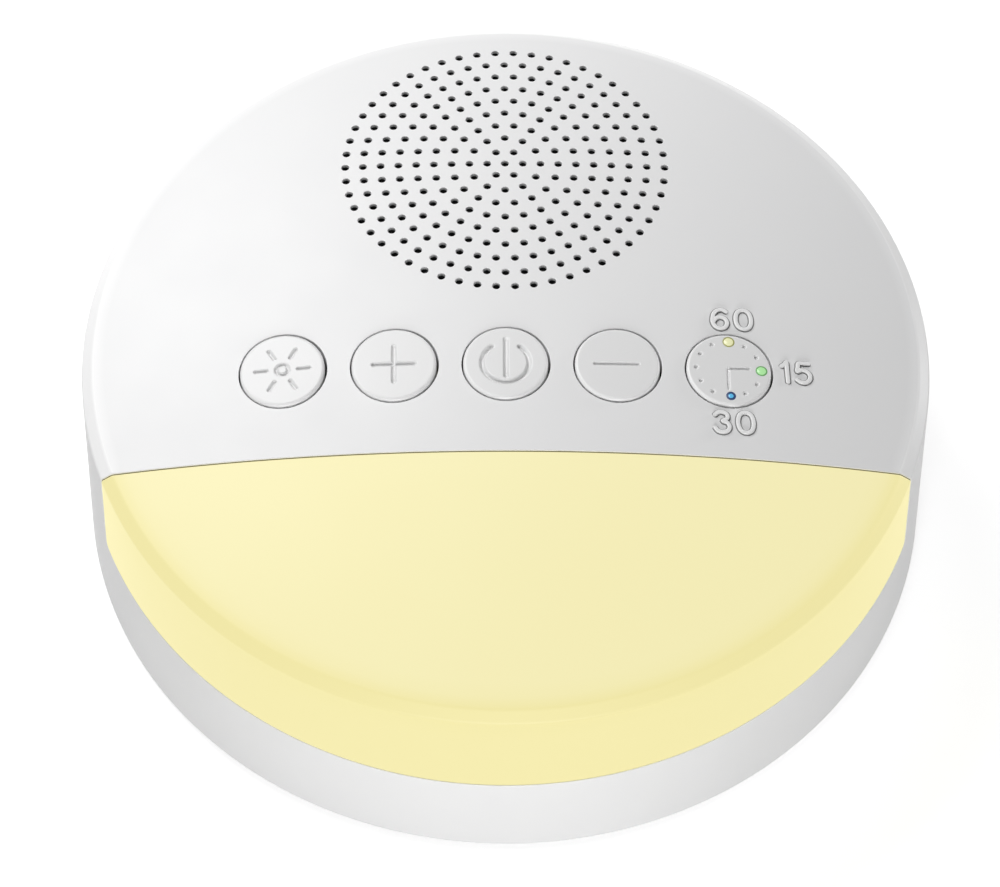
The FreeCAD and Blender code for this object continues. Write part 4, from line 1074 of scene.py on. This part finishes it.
        # The tint paints the lens darker on its fold and slightly darker on its side: painted shade.
        sheet = self.sheet(outline, (-2.0, 0.2, 0.2, 2.4, 0.9))
        opening = Rim(*self.lens_edge(outline)).untangled(outline, self.lens_gap + self.lens_round)
        sheet.rims.append(Rim(*opening.moved(outline, self.lens_gap), False, self.lens_round, self.wall))
        skin = Skin()
        sheet.build(skin)
        lens = skin.make("night_light_lens", CASING, [GLOWING_LENS])
        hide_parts("light_lens")
        return lens

    def build(self) -> None:
        """Builds both pieces."""
        outline = self.outline()
        self.build_shell(outline)
        self.build_lens(outline)


@dataclass
class Numerals:
    """Raised figures round the timer key, in millimetres."""

    stroke: float = 0.31
    rise: float = 0.3
    # corner is the width of the band of painted shade round each stroke.
    corner: float = 0.15
    tilt: float = 2.5
    places: tuple[tuple[str, float, float, float], ...] = (
        ("60", 31.85, 3.45, 3.35), ("30", 31.8, -13.95, 3.35), ("15", 40.55, -4.85, 2.479))

    FIGURES = {
        "0": ([(0.0, 1.65), (0.72, 1.32), (1.05, 0.5), (1.05, -0.5), (0.72, -1.32), (0.0, -1.65),
               (-0.72, -1.32), (-1.05, -0.5), (-1.05, 0.5), (-0.72, 1.32)], True),
        "6": ([(0.95, 1.28), (0.4, 1.62), (-0.25, 1.5), (-0.8, 0.9), (-1.02, 0.0), (-0.98, -0.75),
               (-0.62, -1.4), (0.0, -1.65), (0.68, -1.4), (1.0, -0.7), (0.78, 0.0), (0.15, 0.32),
               (-0.5, 0.12), (-0.9, -0.42)], False),
        "3": ([(-0.95, 1.15), (-0.45, 1.58), (0.2, 1.6), (0.78, 1.2), (0.72, 0.55), (0.1, 0.15),
               (0.72, -0.1), (1.02, -0.75), (0.72, -1.4), (0.05, -1.65), (-0.65, -1.45), (-1.0, -0.95)], False),
        "1": ([(-0.55, 0.95), (-0.1, 1.3), (0.18, 1.65), (0.2, 0.6), (0.22, -0.6), (0.24, -1.65)], False),
        "5": ([(0.85, 1.6), (0.1, 1.58), (-0.6, 1.55), (-0.72, 0.9), (-0.82, 0.2), (-0.2, 0.45),
               (0.5, 0.25), (0.95, -0.35), (0.85, -1.1), (0.3, -1.6), (-0.4, -1.6), (-0.95, -1.2)], False),
    }
    SQUARE = 0.55  # lower for a ridge with a squarer section
    ENDS = np.array([0.98, 0.8, 0.5])  # rows that round a stroke's end, as shares of its half width

    @staticmethod
    def smooth(points: list[tuple[float, float]], closed: bool) -> Array:
        """Runs a smooth line through a stroke's points.

        Args:
            points: The stroke's points.
            closed: Whether it ends where it starts.

        Returns:
            Close points along it.
        """
        given = np.array(points)
        if closed:
            padded = np.concatenate([given[-1:], given, given[:2]])
        else:
            padded = np.concatenate([2 * given[:1] - given[1:2], given, 2 * given[-1:] - given[-2:-1]])
        line = []
        for a, b, c, d in zip(padded, padded[1:], padded[2:], padded[3:]):
            for t in np.arange(0, 1, 1 / 6):
                line.append(0.5 * (2 * b + (c - a) * t + (2 * a - 5 * b + 4 * c - d) * t ** 2
                                   + (3 * b - a - 3 * c + d) * t ** 3))
        if not closed:
            line.append(given[-1])
        return np.array(line)

    def ridge(self, skin: Skin, line: Array, closed: bool) -> None:
        """Adds one half-round ridge on the dome, with painted shade along its foot.

        Args:
            skin: Where it goes.
            line: Its middle line in plan.
            closed: Whether it is a loop.
        """
        if not closed:
            run = (line[1] - line[0]) / np.linalg.norm(line[1] - line[0])
            out = (line[-1] - line[-2]) / np.linalg.norm(line[-1] - line[-2])
            steps = self.ENDS[:, None] * self.stroke
            line = np.concatenate([line[0] - run * steps, line, line[-1] + out * steps[::-1]])
        ahead = (np.roll(line, -1, 0) - np.roll(line, 1, 0)) if closed else np.gradient(line, axis=0)
        ahead /= np.linalg.norm(ahead, axis=1, keepdims=True)
        side = np.stack([-ahead[:, 1], ahead[:, 0]], 1)
        size = np.ones(len(line))
        if not closed:
            ends = np.sqrt(1 - self.ENDS ** 2)
            size[:len(ends)], size[-len(ends):] = ends, ends[::-1]
        turns = np.linspace(0, math.pi, 13)
        cos, sin = np.cos(turns), np.sin(turns)
        across = self.stroke * np.sign(cos) * np.abs(cos) ** self.SQUARE
        lift = self.rise * sin ** self.SQUARE
        lean = np.sign(cos) * np.abs(cos) ** (2 - self.SQUARE) * self.rise
        level = sin ** (2 - self.SQUARE) * self.stroke
        # The lowest rows of the ridge's sides take painted shade in the dark edge colour.
        painted_foot_shade = np.where(np.abs(cos) > 0.95, 0.7, 0.0)
        profile = list(zip(across, lift, lean, level, painted_foot_shade))
        # Two flat rows just off the dome make a band of painted shade round the stroke.
        flat = [(self.stroke + self.corner, 0.012, 0.0, 1.0, 1.0), (self.stroke, 0.012, 0.0, 1.0, 1.0)]
        profile = flat + profile + [(-reach, *rest) for reach, *rest in flat[::-1]]
        rows = []
        for reach, height, lean, level, edge in profile:
            plan = line + side * (reach * size)[:, None]
            point = np.column_stack([plan, dome(plan[:, 0], plan[:, 1]) + height * size])
            normal = np.column_stack([side * lean, np.full(len(line), level)])
            normal[:, :2] += plan / DOME_RADIUS * level
            rows.append(skin.add(point, normal, edge))
        for first, second in zip(rows, rows[1:]):
            skin.bridge(first, second, closed)

    def build(self) -> Piece:
        """Builds all three figures as one piece."""
        skin = Skin()
        turn = math.radians(self.tilt)
        spin = np.array([[math.cos(turn), -math.sin(turn)], [math.sin(turn), math.cos(turn)]])
        for text, x, y, advance in self.places:
            for i, sign in enumerate(text):
                points, closed = self.FIGURES[sign]
                line = self.smooth(points, closed) + np.array([(i - (len(text) - 1) / 2) * advance, 0.0])
                self.ridge(skin, line @ spin.T + np.array([x, y]), closed)
        return skin.make("timer_numerals", CASING, [NUMERAL_LIGHT_AND_SHADE])


@dataclass
class PushKey:
    """One round key with a sign cut into its domed top, in millimetres."""

    key: str
    icon: Icon
    radius: float = 5.98
    proud: float = 0.36
    aside: float = -0.06
    rounding: float = 0.5
    skirt: float = 0.8
    skirt_lift: float = 0.8
    roof: float = 1.8
    post: float = 1.6
    lug_reach: float = 1.1
    lug_width: float = 3.0
    lug_height: float = 1.1
    columns: int = 240
    fine_rings: int = 64

    GROOVES = {Icon.SUN: 0.42, Icon.PLUS: 0.48, Icon.POWER: 0.52, Icon.MINUS: 0.4, Icon.CLOCK: 0.34}
    DIMPLE = (0.45, 0.42)
    DIAL = (-0.03, 0.1)
    DIAL_RADIUS = 4.55
    STEP = 0.01  # distance over which the top's slope is measured
    FIRST_RING = 0.15
    EDGE_ROWS = 6
    # Painted highlight on the cap's rounded rim, strongest halfway round the rounding.
    PAINTED_RIM_HIGHLIGHT = 0.4

    def __post_init__(self) -> None:
        """Finds the key's middle in plan and the foot of its post."""
        self.x0, self.y0 = centre_of(f"{self.key}_button")[0] + self.aside, Casing.key_row
        self.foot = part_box(f"{self.key}_button")[0].z / MM

    def strokes(self) -> list[tuple[str, tuple[float, ...]]]:
        """Gives the sign as lines and arcs round the key's middle.

        Returns:
            Pairs of a kind and its sizes: a line's two ends, an arc's radius and two angles, or a
            dimple's place.
        """
        if self.icon is Icon.SUN:
            rays = [("line", (2.25 * math.cos(a), 2.25 * math.sin(a), 3.75 * math.cos(a), 3.75 * math.sin(a)))
                    for a in [math.radians(60 * k + 1) for k in range(6)]]
            return [("arc", (0.85, 0.0, 360.0))] + rays
        if self.icon is Icon.PLUS:
            return [("line", (-2.85, 0.0, 2.85, 0.0)), ("line", (0.0, -2.95, 0.0, 2.95))]
        if self.icon is Icon.POWER:
            return [("arc", (3.3, 127.0, 413.0)), ("line", (0.05, -2.3, 0.05, 3.9))]
        if self.icon is Icon.MINUS:
            return [("line", (-3.1, -0.05, 2.9, 0.05))]
        hands = [("line", (-0.1, 0.15, -0.08, -3.2)), ("line", (-0.1, 0.15, 2.85, 0.33))]
        hours = [math.radians(30 * k) for k in range(12) if k % 3 or k == 6]
        return hands + [("dimple", (self.DIAL[0] + self.DIAL_RADIUS * math.cos(a),
                                    self.DIAL[1] + self.DIAL_RADIUS * math.sin(a))) for a in hours]

    def cut(self, x: Array, y: Array) -> Array:
        """Gives the depth of the sign at places round the key's middle.

        Args:
            x: Places across.
            y: Places back.

        Returns:
            Depths, positive down.
        """
        deep = np.zeros_like(x)
        for kind, sizes in self.strokes():
            width = depth = self.GROOVES[self.icon]
            if kind == "line":
                ax, ay, bx, by = sizes
                span = (bx - ax) ** 2 + (by - ay) ** 2
                share = np.clip(((x - ax) * (bx - ax) + (y - ay) * (by - ay)) / span, 0, 1)
                away = np.hypot(x - ax - share * (bx - ax), y - ay - share * (by - ay))
            elif kind == "arc":
                radius, start, end = sizes
                turn = np.degrees(np.arctan2(y, x)) % 360
                turn = np.where(turn < start - (360 - (end - start)) / 2, turn + 360, turn)
                held = np.radians(np.clip(turn, start, end))
                away = np.hypot(x - radius * np.cos(held), y - radius * np.sin(held))
            else:
                away = np.hypot(x - sizes[0], y - sizes[1])
                width, depth = self.DIMPLE
            deep = np.maximum(deep, depth * np.cos(np.clip(away / width, 0, 1) * math.pi / 2) ** 2)
        return deep

    def top(self, x: Array, y: Array) -> Array:
        """Gives the height of the cut top at places round the middle."""
        return dome(x + self.x0, y + self.y0, self.proud) - self.cut(x, y)

    def build(self) -> Piece:
        """Builds the key's cap, skirt, post and lugs."""
        skin = Skin()
        turn = circle(self.columns)
        cos, sin = np.cos(turn), np.sin(turn)
        flat = self.radius - self.rounding
        row = None
        for radius in np.concatenate([[PIN], np.linspace(self.FIRST_RING, flat, self.fine_rings)]):
            x, y = radius * cos, radius * sin
            slopes = [(self.top(x + dx, y + dy) - self.top(x - dx, y - dy)) / (2 * self.STEP)
                      for dx, dy in ((self.STEP, 0.0), (0.0, self.STEP))]
            new = skin.add(np.stack([x + self.x0, y + self.y0, self.top(x, y)], 1),
                           np.stack([-slopes[0], -slopes[1], np.ones_like(x)], 1))
            if row is None:
                skin.face(new[None, :])
            else:
                skin.bridge(row, new)
            row = new
        for angle in np.linspace(0, math.pi / 2, self.EDGE_ROWS + 1)[1:]:
            radius = flat + self.rounding * math.sin(angle)
            x, y = radius * cos, radius * sin
            z = self.top(x, y) - self.rounding * (1 - math.cos(angle))
            last = np.stack([x + self.x0, y + self.y0, z], 1)
            normal = np.stack([cos * math.sin(angle), sin * math.sin(angle), np.full_like(x, math.cos(angle))], 1)
            new = skin.add(last, normal, edge=self.PAINTED_RIM_HIGHLIGHT * math.sin(2 * angle))
            skin.bridge(row, new)
            row = new
        inside, bottom = self.radius - self.skirt, self.foot + self.skirt_lift
        roof = float(self.top(np.zeros(1), np.zeros(1))[0]) - self.roof
        skin.steps((self.x0, self.y0), turn, last, [
            (self.radius, bottom, 1.0, 0.0), (inside, bottom, 0.0, -1.0), (inside, roof, -1.0, 0.0),
            (self.post, roof, 0.0, -1.0), (self.post, self.foot, 1.0, 0.0), (PIN, self.foot, 0.0, -1.0)])
        for angle in (90, 210, 330):
            self.lug(skin, math.radians(angle), bottom)
        cap = skin.make(f"{self.key}_key_cap", f"{self.key}_key", [KEY_WHITE])
        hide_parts(f"{self.key}_button")
        return cap

    def lug(self, skin: Skin, angle: float, bottom: float) -> None:
        """Adds one stop lug at the skirt's foot.

        Args:
            skin: The cap's skin.
            angle: Of the lug round the key.
            bottom: Height of the skirt's foot.
        """
        out = np.array([math.cos(angle), math.sin(angle), 0.0])
        side = np.array([-out[1], out[0], 0.0])
        middle = np.array([self.x0, self.y0, bottom]) + out * (self.radius - self.skirt / 2)
        reach, half = out * (self.skirt / 2 + self.lug_reach), side * self.lug_width / 2
        low = np.array([middle - half, middle + half, middle + half + reach, middle - half + reach])
        high = low + np.array([0, 0, self.lug_height])
        sides = [(low, DOWN), (high, UP)]
        for i, way in enumerate((-out, side, out, -side)):
            j = (i + 1) % 4
            sides.append((np.array([low[i], low[j], high[j], high[i]]), way))
        for corners, way in sides:
            skin.face(skin.add(corners, way)[None, :])


@dataclass
class TimerWindows:
    """Three coloured windows round the timer key's clock sign, in millimetres."""

    pin: float = 0.6
    axis: float = 0.01
    bulge: float = 0.07
    columns: int = 40

    # Angle, window, rim, radius of the glass and of the rim
    PLACES = ((90, YELLOW_WINDOW, YELLOW_RIM, 0.66, 0.9), (0, GREEN_WINDOW, GREEN_RIM, 0.64, 0.88),
              (272, BLUE_WINDOW, BLUE_RIM, 0.36, 0.74))

    def build(self) -> None:
        """Builds the three windows with their darker rims."""
        x0, y0 = centre_of("timer_button")[0], Casing.key_row + PushKey.DIAL[1]
        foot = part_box("timer_light_pipes")[0].z / MM
        for degrees, window, rim, glass, edge in self.PLACES:
            angle = math.radians(degrees)
            centre = (x0 + PushKey.DIAL_RADIUS * math.cos(angle), y0 + PushKey.DIAL_RADIUS * math.sin(angle))
            skin = Skin()
            skin.turned(centre, self.columns, [
                (self.axis, self.bulge, 0.0, 1.0, 0, True),
                (glass * 0.6, self.bulge * 0.8, 0.15, 1.0, 0, True),
                (glass, self.bulge * 0.35, 0.3, 1.0, 0, True), (glass, self.bulge * 0.35, 0.1, 1.0, 1, True),
                (edge - 0.08, 0.03, 0.1, 1.0, 1, True), (edge, -0.03, 1.0, 0.4, 1, True),
                (edge, -0.3, 1.0, 0.0, 1, True), (self.pin, -0.3, 0.0, -1.0, 1, True),
                (self.pin, foot, 1.0, 0.0, 0, False), (self.axis, foot, 0.0, -1.0, 0, False)], PushKey.proud)
            word = window.name.split()[0]
            made = skin.make(f"timer_window_{word}", "timer_key", [window, rim])
            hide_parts("timer_light_pipes")


@dataclass
class Underside:
    """The rubber feet and the four closing screws, in millimetres."""

    foot_ring: float = 48.0
    foot_radius: float = 4.5
    foot_top: float = 2.1
    foot_round: float = 0.35
    hollow: float = 0.12
    foot_columns: int = 64
    screw_ring: float = 35.36
    screw_columns: int = 72
    head_radius: float = 2.4
    head_low: float = 2.4
    head_high: float = 4.0
    head_crown: float = 0.45
    head_rings: int = 26
    shank_radius: float = 1.2
    slot_half: float = 0.28
    slot_reach: float = 1.35
    slot_depth: float = 0.8

    STEP = 0.02  # distance over which the recess's slope is measured

    def build_feet(self) -> Piece:
        """Builds four round feet with soft edges and a shallow hollow."""
        skin = Skin()
        f = self.foot_round
        outline = [(PIN, self.hollow, 0.0, -1.0), (2.9, self.hollow, 0.0, -1.0), (3.2, 0.02, -0.4, -1.0),
                   (3.35, 0.0, 0.0, -1.0)]
        outline += [(self.foot_radius - f + f * math.sin(a), f - f * math.cos(a), math.sin(a), -math.cos(a))
                    for a in np.linspace(0, math.pi / 2, 6)]
        outline += [(self.foot_radius, self.foot_top, 1.0, 0.0), (self.foot_radius, self.foot_top, 0.0, 1.0),
                    (PIN, self.foot_top, 0.0, 1.0)]
        for turn in circle(4):
            centre = (self.foot_ring * math.cos(turn), self.foot_ring * math.sin(turn))
            skin.turned(centre, self.foot_columns, outline)
        feet = skin.make("round_rubber_feet", CASING, [RUBBER])
        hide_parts("rubber_feet")
        return feet

    def recess(self, x: Array, y: Array) -> Array:
        """Gives the depth of the cross recess at places on the head."""
        deep = np.zeros_like(x)
        for along, across in ((x, y), (y, x)):
            open_ = np.clip((self.slot_half + 0.06 - np.abs(across)) / 0.1, 0, 1)
            fall = np.clip((self.slot_reach - np.abs(along)) / 0.7, 0, 1)
            deep = np.maximum(deep, open_ * fall * self.slot_depth)
        return deep

    def build_screws(self) -> Piece:
        """Builds four round-headed screws with cross recesses."""
        skin = Skin()
        shank_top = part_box("housing_screws")[1].z / MM
        turn = circle(self.screw_columns)
        cos, sin = np.cos(turn), np.sin(turn)
        for across, back in ((1, 1), (-1, 1), (-1, -1), (1, -1)):
            x0, y0 = across * self.screw_ring, back * self.screw_ring
            row = None
            for radius in np.linspace(PIN, self.head_radius, self.head_rings):
                x, y = radius * cos, radius * sin
                z = self.head_low + self.head_crown * (radius / self.head_radius) ** 3 + self.recess(x, y)
                slopes = [(self.recess(x + dx, y + dy) - self.recess(x - dx, y - dy)) / (2 * self.STEP)
                          for dx, dy in ((self.STEP, 0.0), (0.0, self.STEP))]
                swell = 3 * self.head_crown * radius ** 2 / self.head_radius ** 3
                last = np.stack([x0 + x, y0 + y, z], 1)
                out = np.stack([slopes[0] + swell * cos, slopes[1] + swell * sin, -np.ones_like(x)], 1)
                new = skin.add(last, out)
                if row is not None:
                    skin.bridge(row, new)
                row = new
            skin.steps((x0, y0), turn, last, [
                (self.head_radius, self.head_high, 1.0, 0.0), (self.shank_radius, self.head_high, 0.0, 1.0),
                (self.shank_radius, shank_top, 1.0, 0.0), (PIN, shank_top, 0.0, 1.0)])
        screws = skin.make("cross_head_screws", CASING, [STEEL])
        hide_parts("housing_screws")
        return screws

    def build(self) -> None:
        """Builds the feet and the screws."""
        self.build_feet()
        self.build_screws()


@dataclass
class Studio:
    """Floor, lights and camera, in millimetres and degrees."""

    camera_place: tuple[float, float, float] = (-5.636, -519.426, 770.83)
    camera_right: tuple[float, float, float] = (0.999985, -0.00361, 0.004004)
    camera_up: tuple[float, float, float] = (0.000713, 0.82479, 0.565439)
    focal: float = 229.387
    floor_side: float = 6000.0
    paper_near: tuple[float, float] = (150.0, 0.72)
    paper_far: tuple[float, float] = (600.0, 0.93)
    world_fill: float = 0.12
    lamps: tuple[tuple[str, tuple[float, float], float, float, float], ...] = (
        ("key lamp", (130.0, 50.0), 340.0, 210.0, 1.0),
        ("front lamp", (270.0, 13.0), 500.0, 200.0, 1.68),
        ("side lamp", (30.0, 4.0), 900.0, 100.0, 2.5),
    )

    @staticmethod
    def seen_rays(tree: Tree) -> Socket:
        """Tells the rays that show a background from those that only light the object.

        Args:
            tree: The material's or world's tree.

        Returns:
            1 for camera, glossy and transmission rays, 0 for the rest.
        """
        path = tree.nodes.new("ShaderNodeLightPath").outputs
        unlit = sum_node(tree, "MAXIMUM", path["Is Glossy Ray"], path["Is Transmission Ray"])
        return sum_node(tree, "MAXIMUM", path["Is Camera Ray"], unlit)

    def floor(self) -> None:
        """Lays a pale floor that reads white to the camera and keeps the shadow."""
        mesh = bpy.data.meshes.new("studio_floor")
        half = self.floor_side / 2 * MM
        corners = [(-half, -half, 0), (half, -half, 0), (half, half, 0), (-half, half, 0)]
        mesh.from_pydata(corners, [], [(0, 1, 2, 3)])
        made = bpy.data.materials.new("studio paper")
        made.use_nodes = True
        tree = made.node_tree
        shader = tree.nodes["Principled BSDF"]
        shader.inputs["Base Color"].default_value = (0.6, 0.6, 0.6, 1.0)
        shader.inputs["Roughness"].default_value = 0.9
        shader.inputs["Specular IOR Level"].default_value = 0.0
        shader.inputs["Emission Color"].default_value = (1.0, 1.0, 1.0, 1.0)
        reach = tree.nodes.new("ShaderNodeVectorMath")
        reach.operation = "LENGTH"
        tree.links.new(tree.nodes.new("ShaderNodeTexCoord").outputs["Object"], reach.inputs[0])
        spread = tree.nodes.new("ShaderNodeMapRange")
        for end, (distance, strength) in (("Min", self.paper_near), ("Max", self.paper_far)):
            spread.inputs[f"From {end}"].default_value = distance * MM
            spread.inputs[f"To {end}"].default_value = strength
        tree.links.new(reach.outputs["Value"], spread.inputs["Value"])
        strength = sum_node(tree, "MULTIPLY", self.seen_rays(tree), spread.outputs["Result"])
        tree.links.new(strength, shader.inputs["Emission Strength"])
        mesh.materials.append(made)
        show("studio_floor", mesh)

    def lamp(self, name: str, angle: tuple[float, float], distance: float, side: float, power: float) -> None:
        """Hangs one square soft lamp that looks at the object.

        Args:
            name: Its name.
            angle: Azimuth and elevation in degrees.
            distance: From the object, in millimetres.
            side: Its width, in millimetres.
            power: In watts.
        """
        light = bpy.data.lights.new(name, "AREA")
        light.shape = "SQUARE"
        light.size = side * MM
        light.energy = power
        lamp = show(name, light)
        azimuth, elevation = (math.radians(a) for a in angle)
        way = Vector((math.cos(azimuth) * math.cos(elevation), math.sin(azimuth) * math.cos(elevation),
                      math.sin(elevation)))
        lamp.location = way * distance * MM + Vector((0, 0, 20 * MM))
        lamp.rotation_euler = way.to_track_quat("Z", "Y").to_euler()
        lamp.visible_camera = False

    def world(self) -> None:
        """Sets an even pale surround that the camera sees as white."""
        world = bpy.data.worlds.new("studio room")
        bpy.context.scene.world = world
        world.use_nodes = True
        tree = world.node_tree
        tree.nodes.clear()
        mix = tree.nodes.new("ShaderNodeMixShader")
        tree.links.new(self.seen_rays(tree), mix.inputs[0])
        for slot, strength in ((1, self.world_fill), (2, 1.0)):
            paper = tree.nodes.new("ShaderNodeBackground")
            paper.inputs["Color"].default_value = (1.0, 1.0, 1.0, 1.0)
            paper.inputs["Strength"].default_value = strength
            tree.links.new(paper.outputs[0], mix.inputs[slot])
        sink = tree.nodes.new("ShaderNodeOutputWorld")
        tree.links.new(mix.outputs[0], sink.inputs[0])

    def camera(self) -> None:
        """Puts the camera at the photograph's place."""
        data = bpy.data.cameras.new("camera")
        data.sensor_width = 36.0
        data.lens = self.focal
        data.clip_end = 20.0
        camera = show("camera", data)
        right, up = Vector(self.camera_right).normalized(), Vector(self.camera_up).normalized()
        back = right.cross(up)
        place = Vector(self.camera_place) * MM
        camera.matrix_world = Matrix(((right.x, up.x, back.x, place.x), (right.y, up.y, back.y, place.y),
                                      (right.z, up.z, back.z, place.z), (0, 0, 0, 1)))
        bpy.context.scene.camera = camera

    def build(self) -> None:
        """Sets up the whole studio."""
        self.camera()
        self.floor()
        self.world()
        for name, angle, distance, side, power in self.lamps:
            self.lamp(name, angle, distance, side, power)
        bpy.context.scene.view_settings.view_transform = "Standard"


def dress_carried_nodes() -> None:
    """Gives every CAD node that still shows its own finish."""
    for name, finish in CARRIED_FINISHES.items():
        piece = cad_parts[name]
        piece.data.materials.clear()
        piece.data.materials.append(finish.material())
        log.info("%s: dressed in %s", name, finish.name)


def main() -> None:
    """Builds the sound machine and its studio."""
    logging.basicConfig(level=logging.INFO, format="%(message)s")
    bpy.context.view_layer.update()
    Studio().build()
    Casing().build()
    Numerals().build()
    for key, icon in zip(KEYS, Icon):
        PushKey(key, icon).build()
    TimerWindows().build()
    Underside().build()
    dress_carried_nodes()


if __name__ == "__main__":
    main()
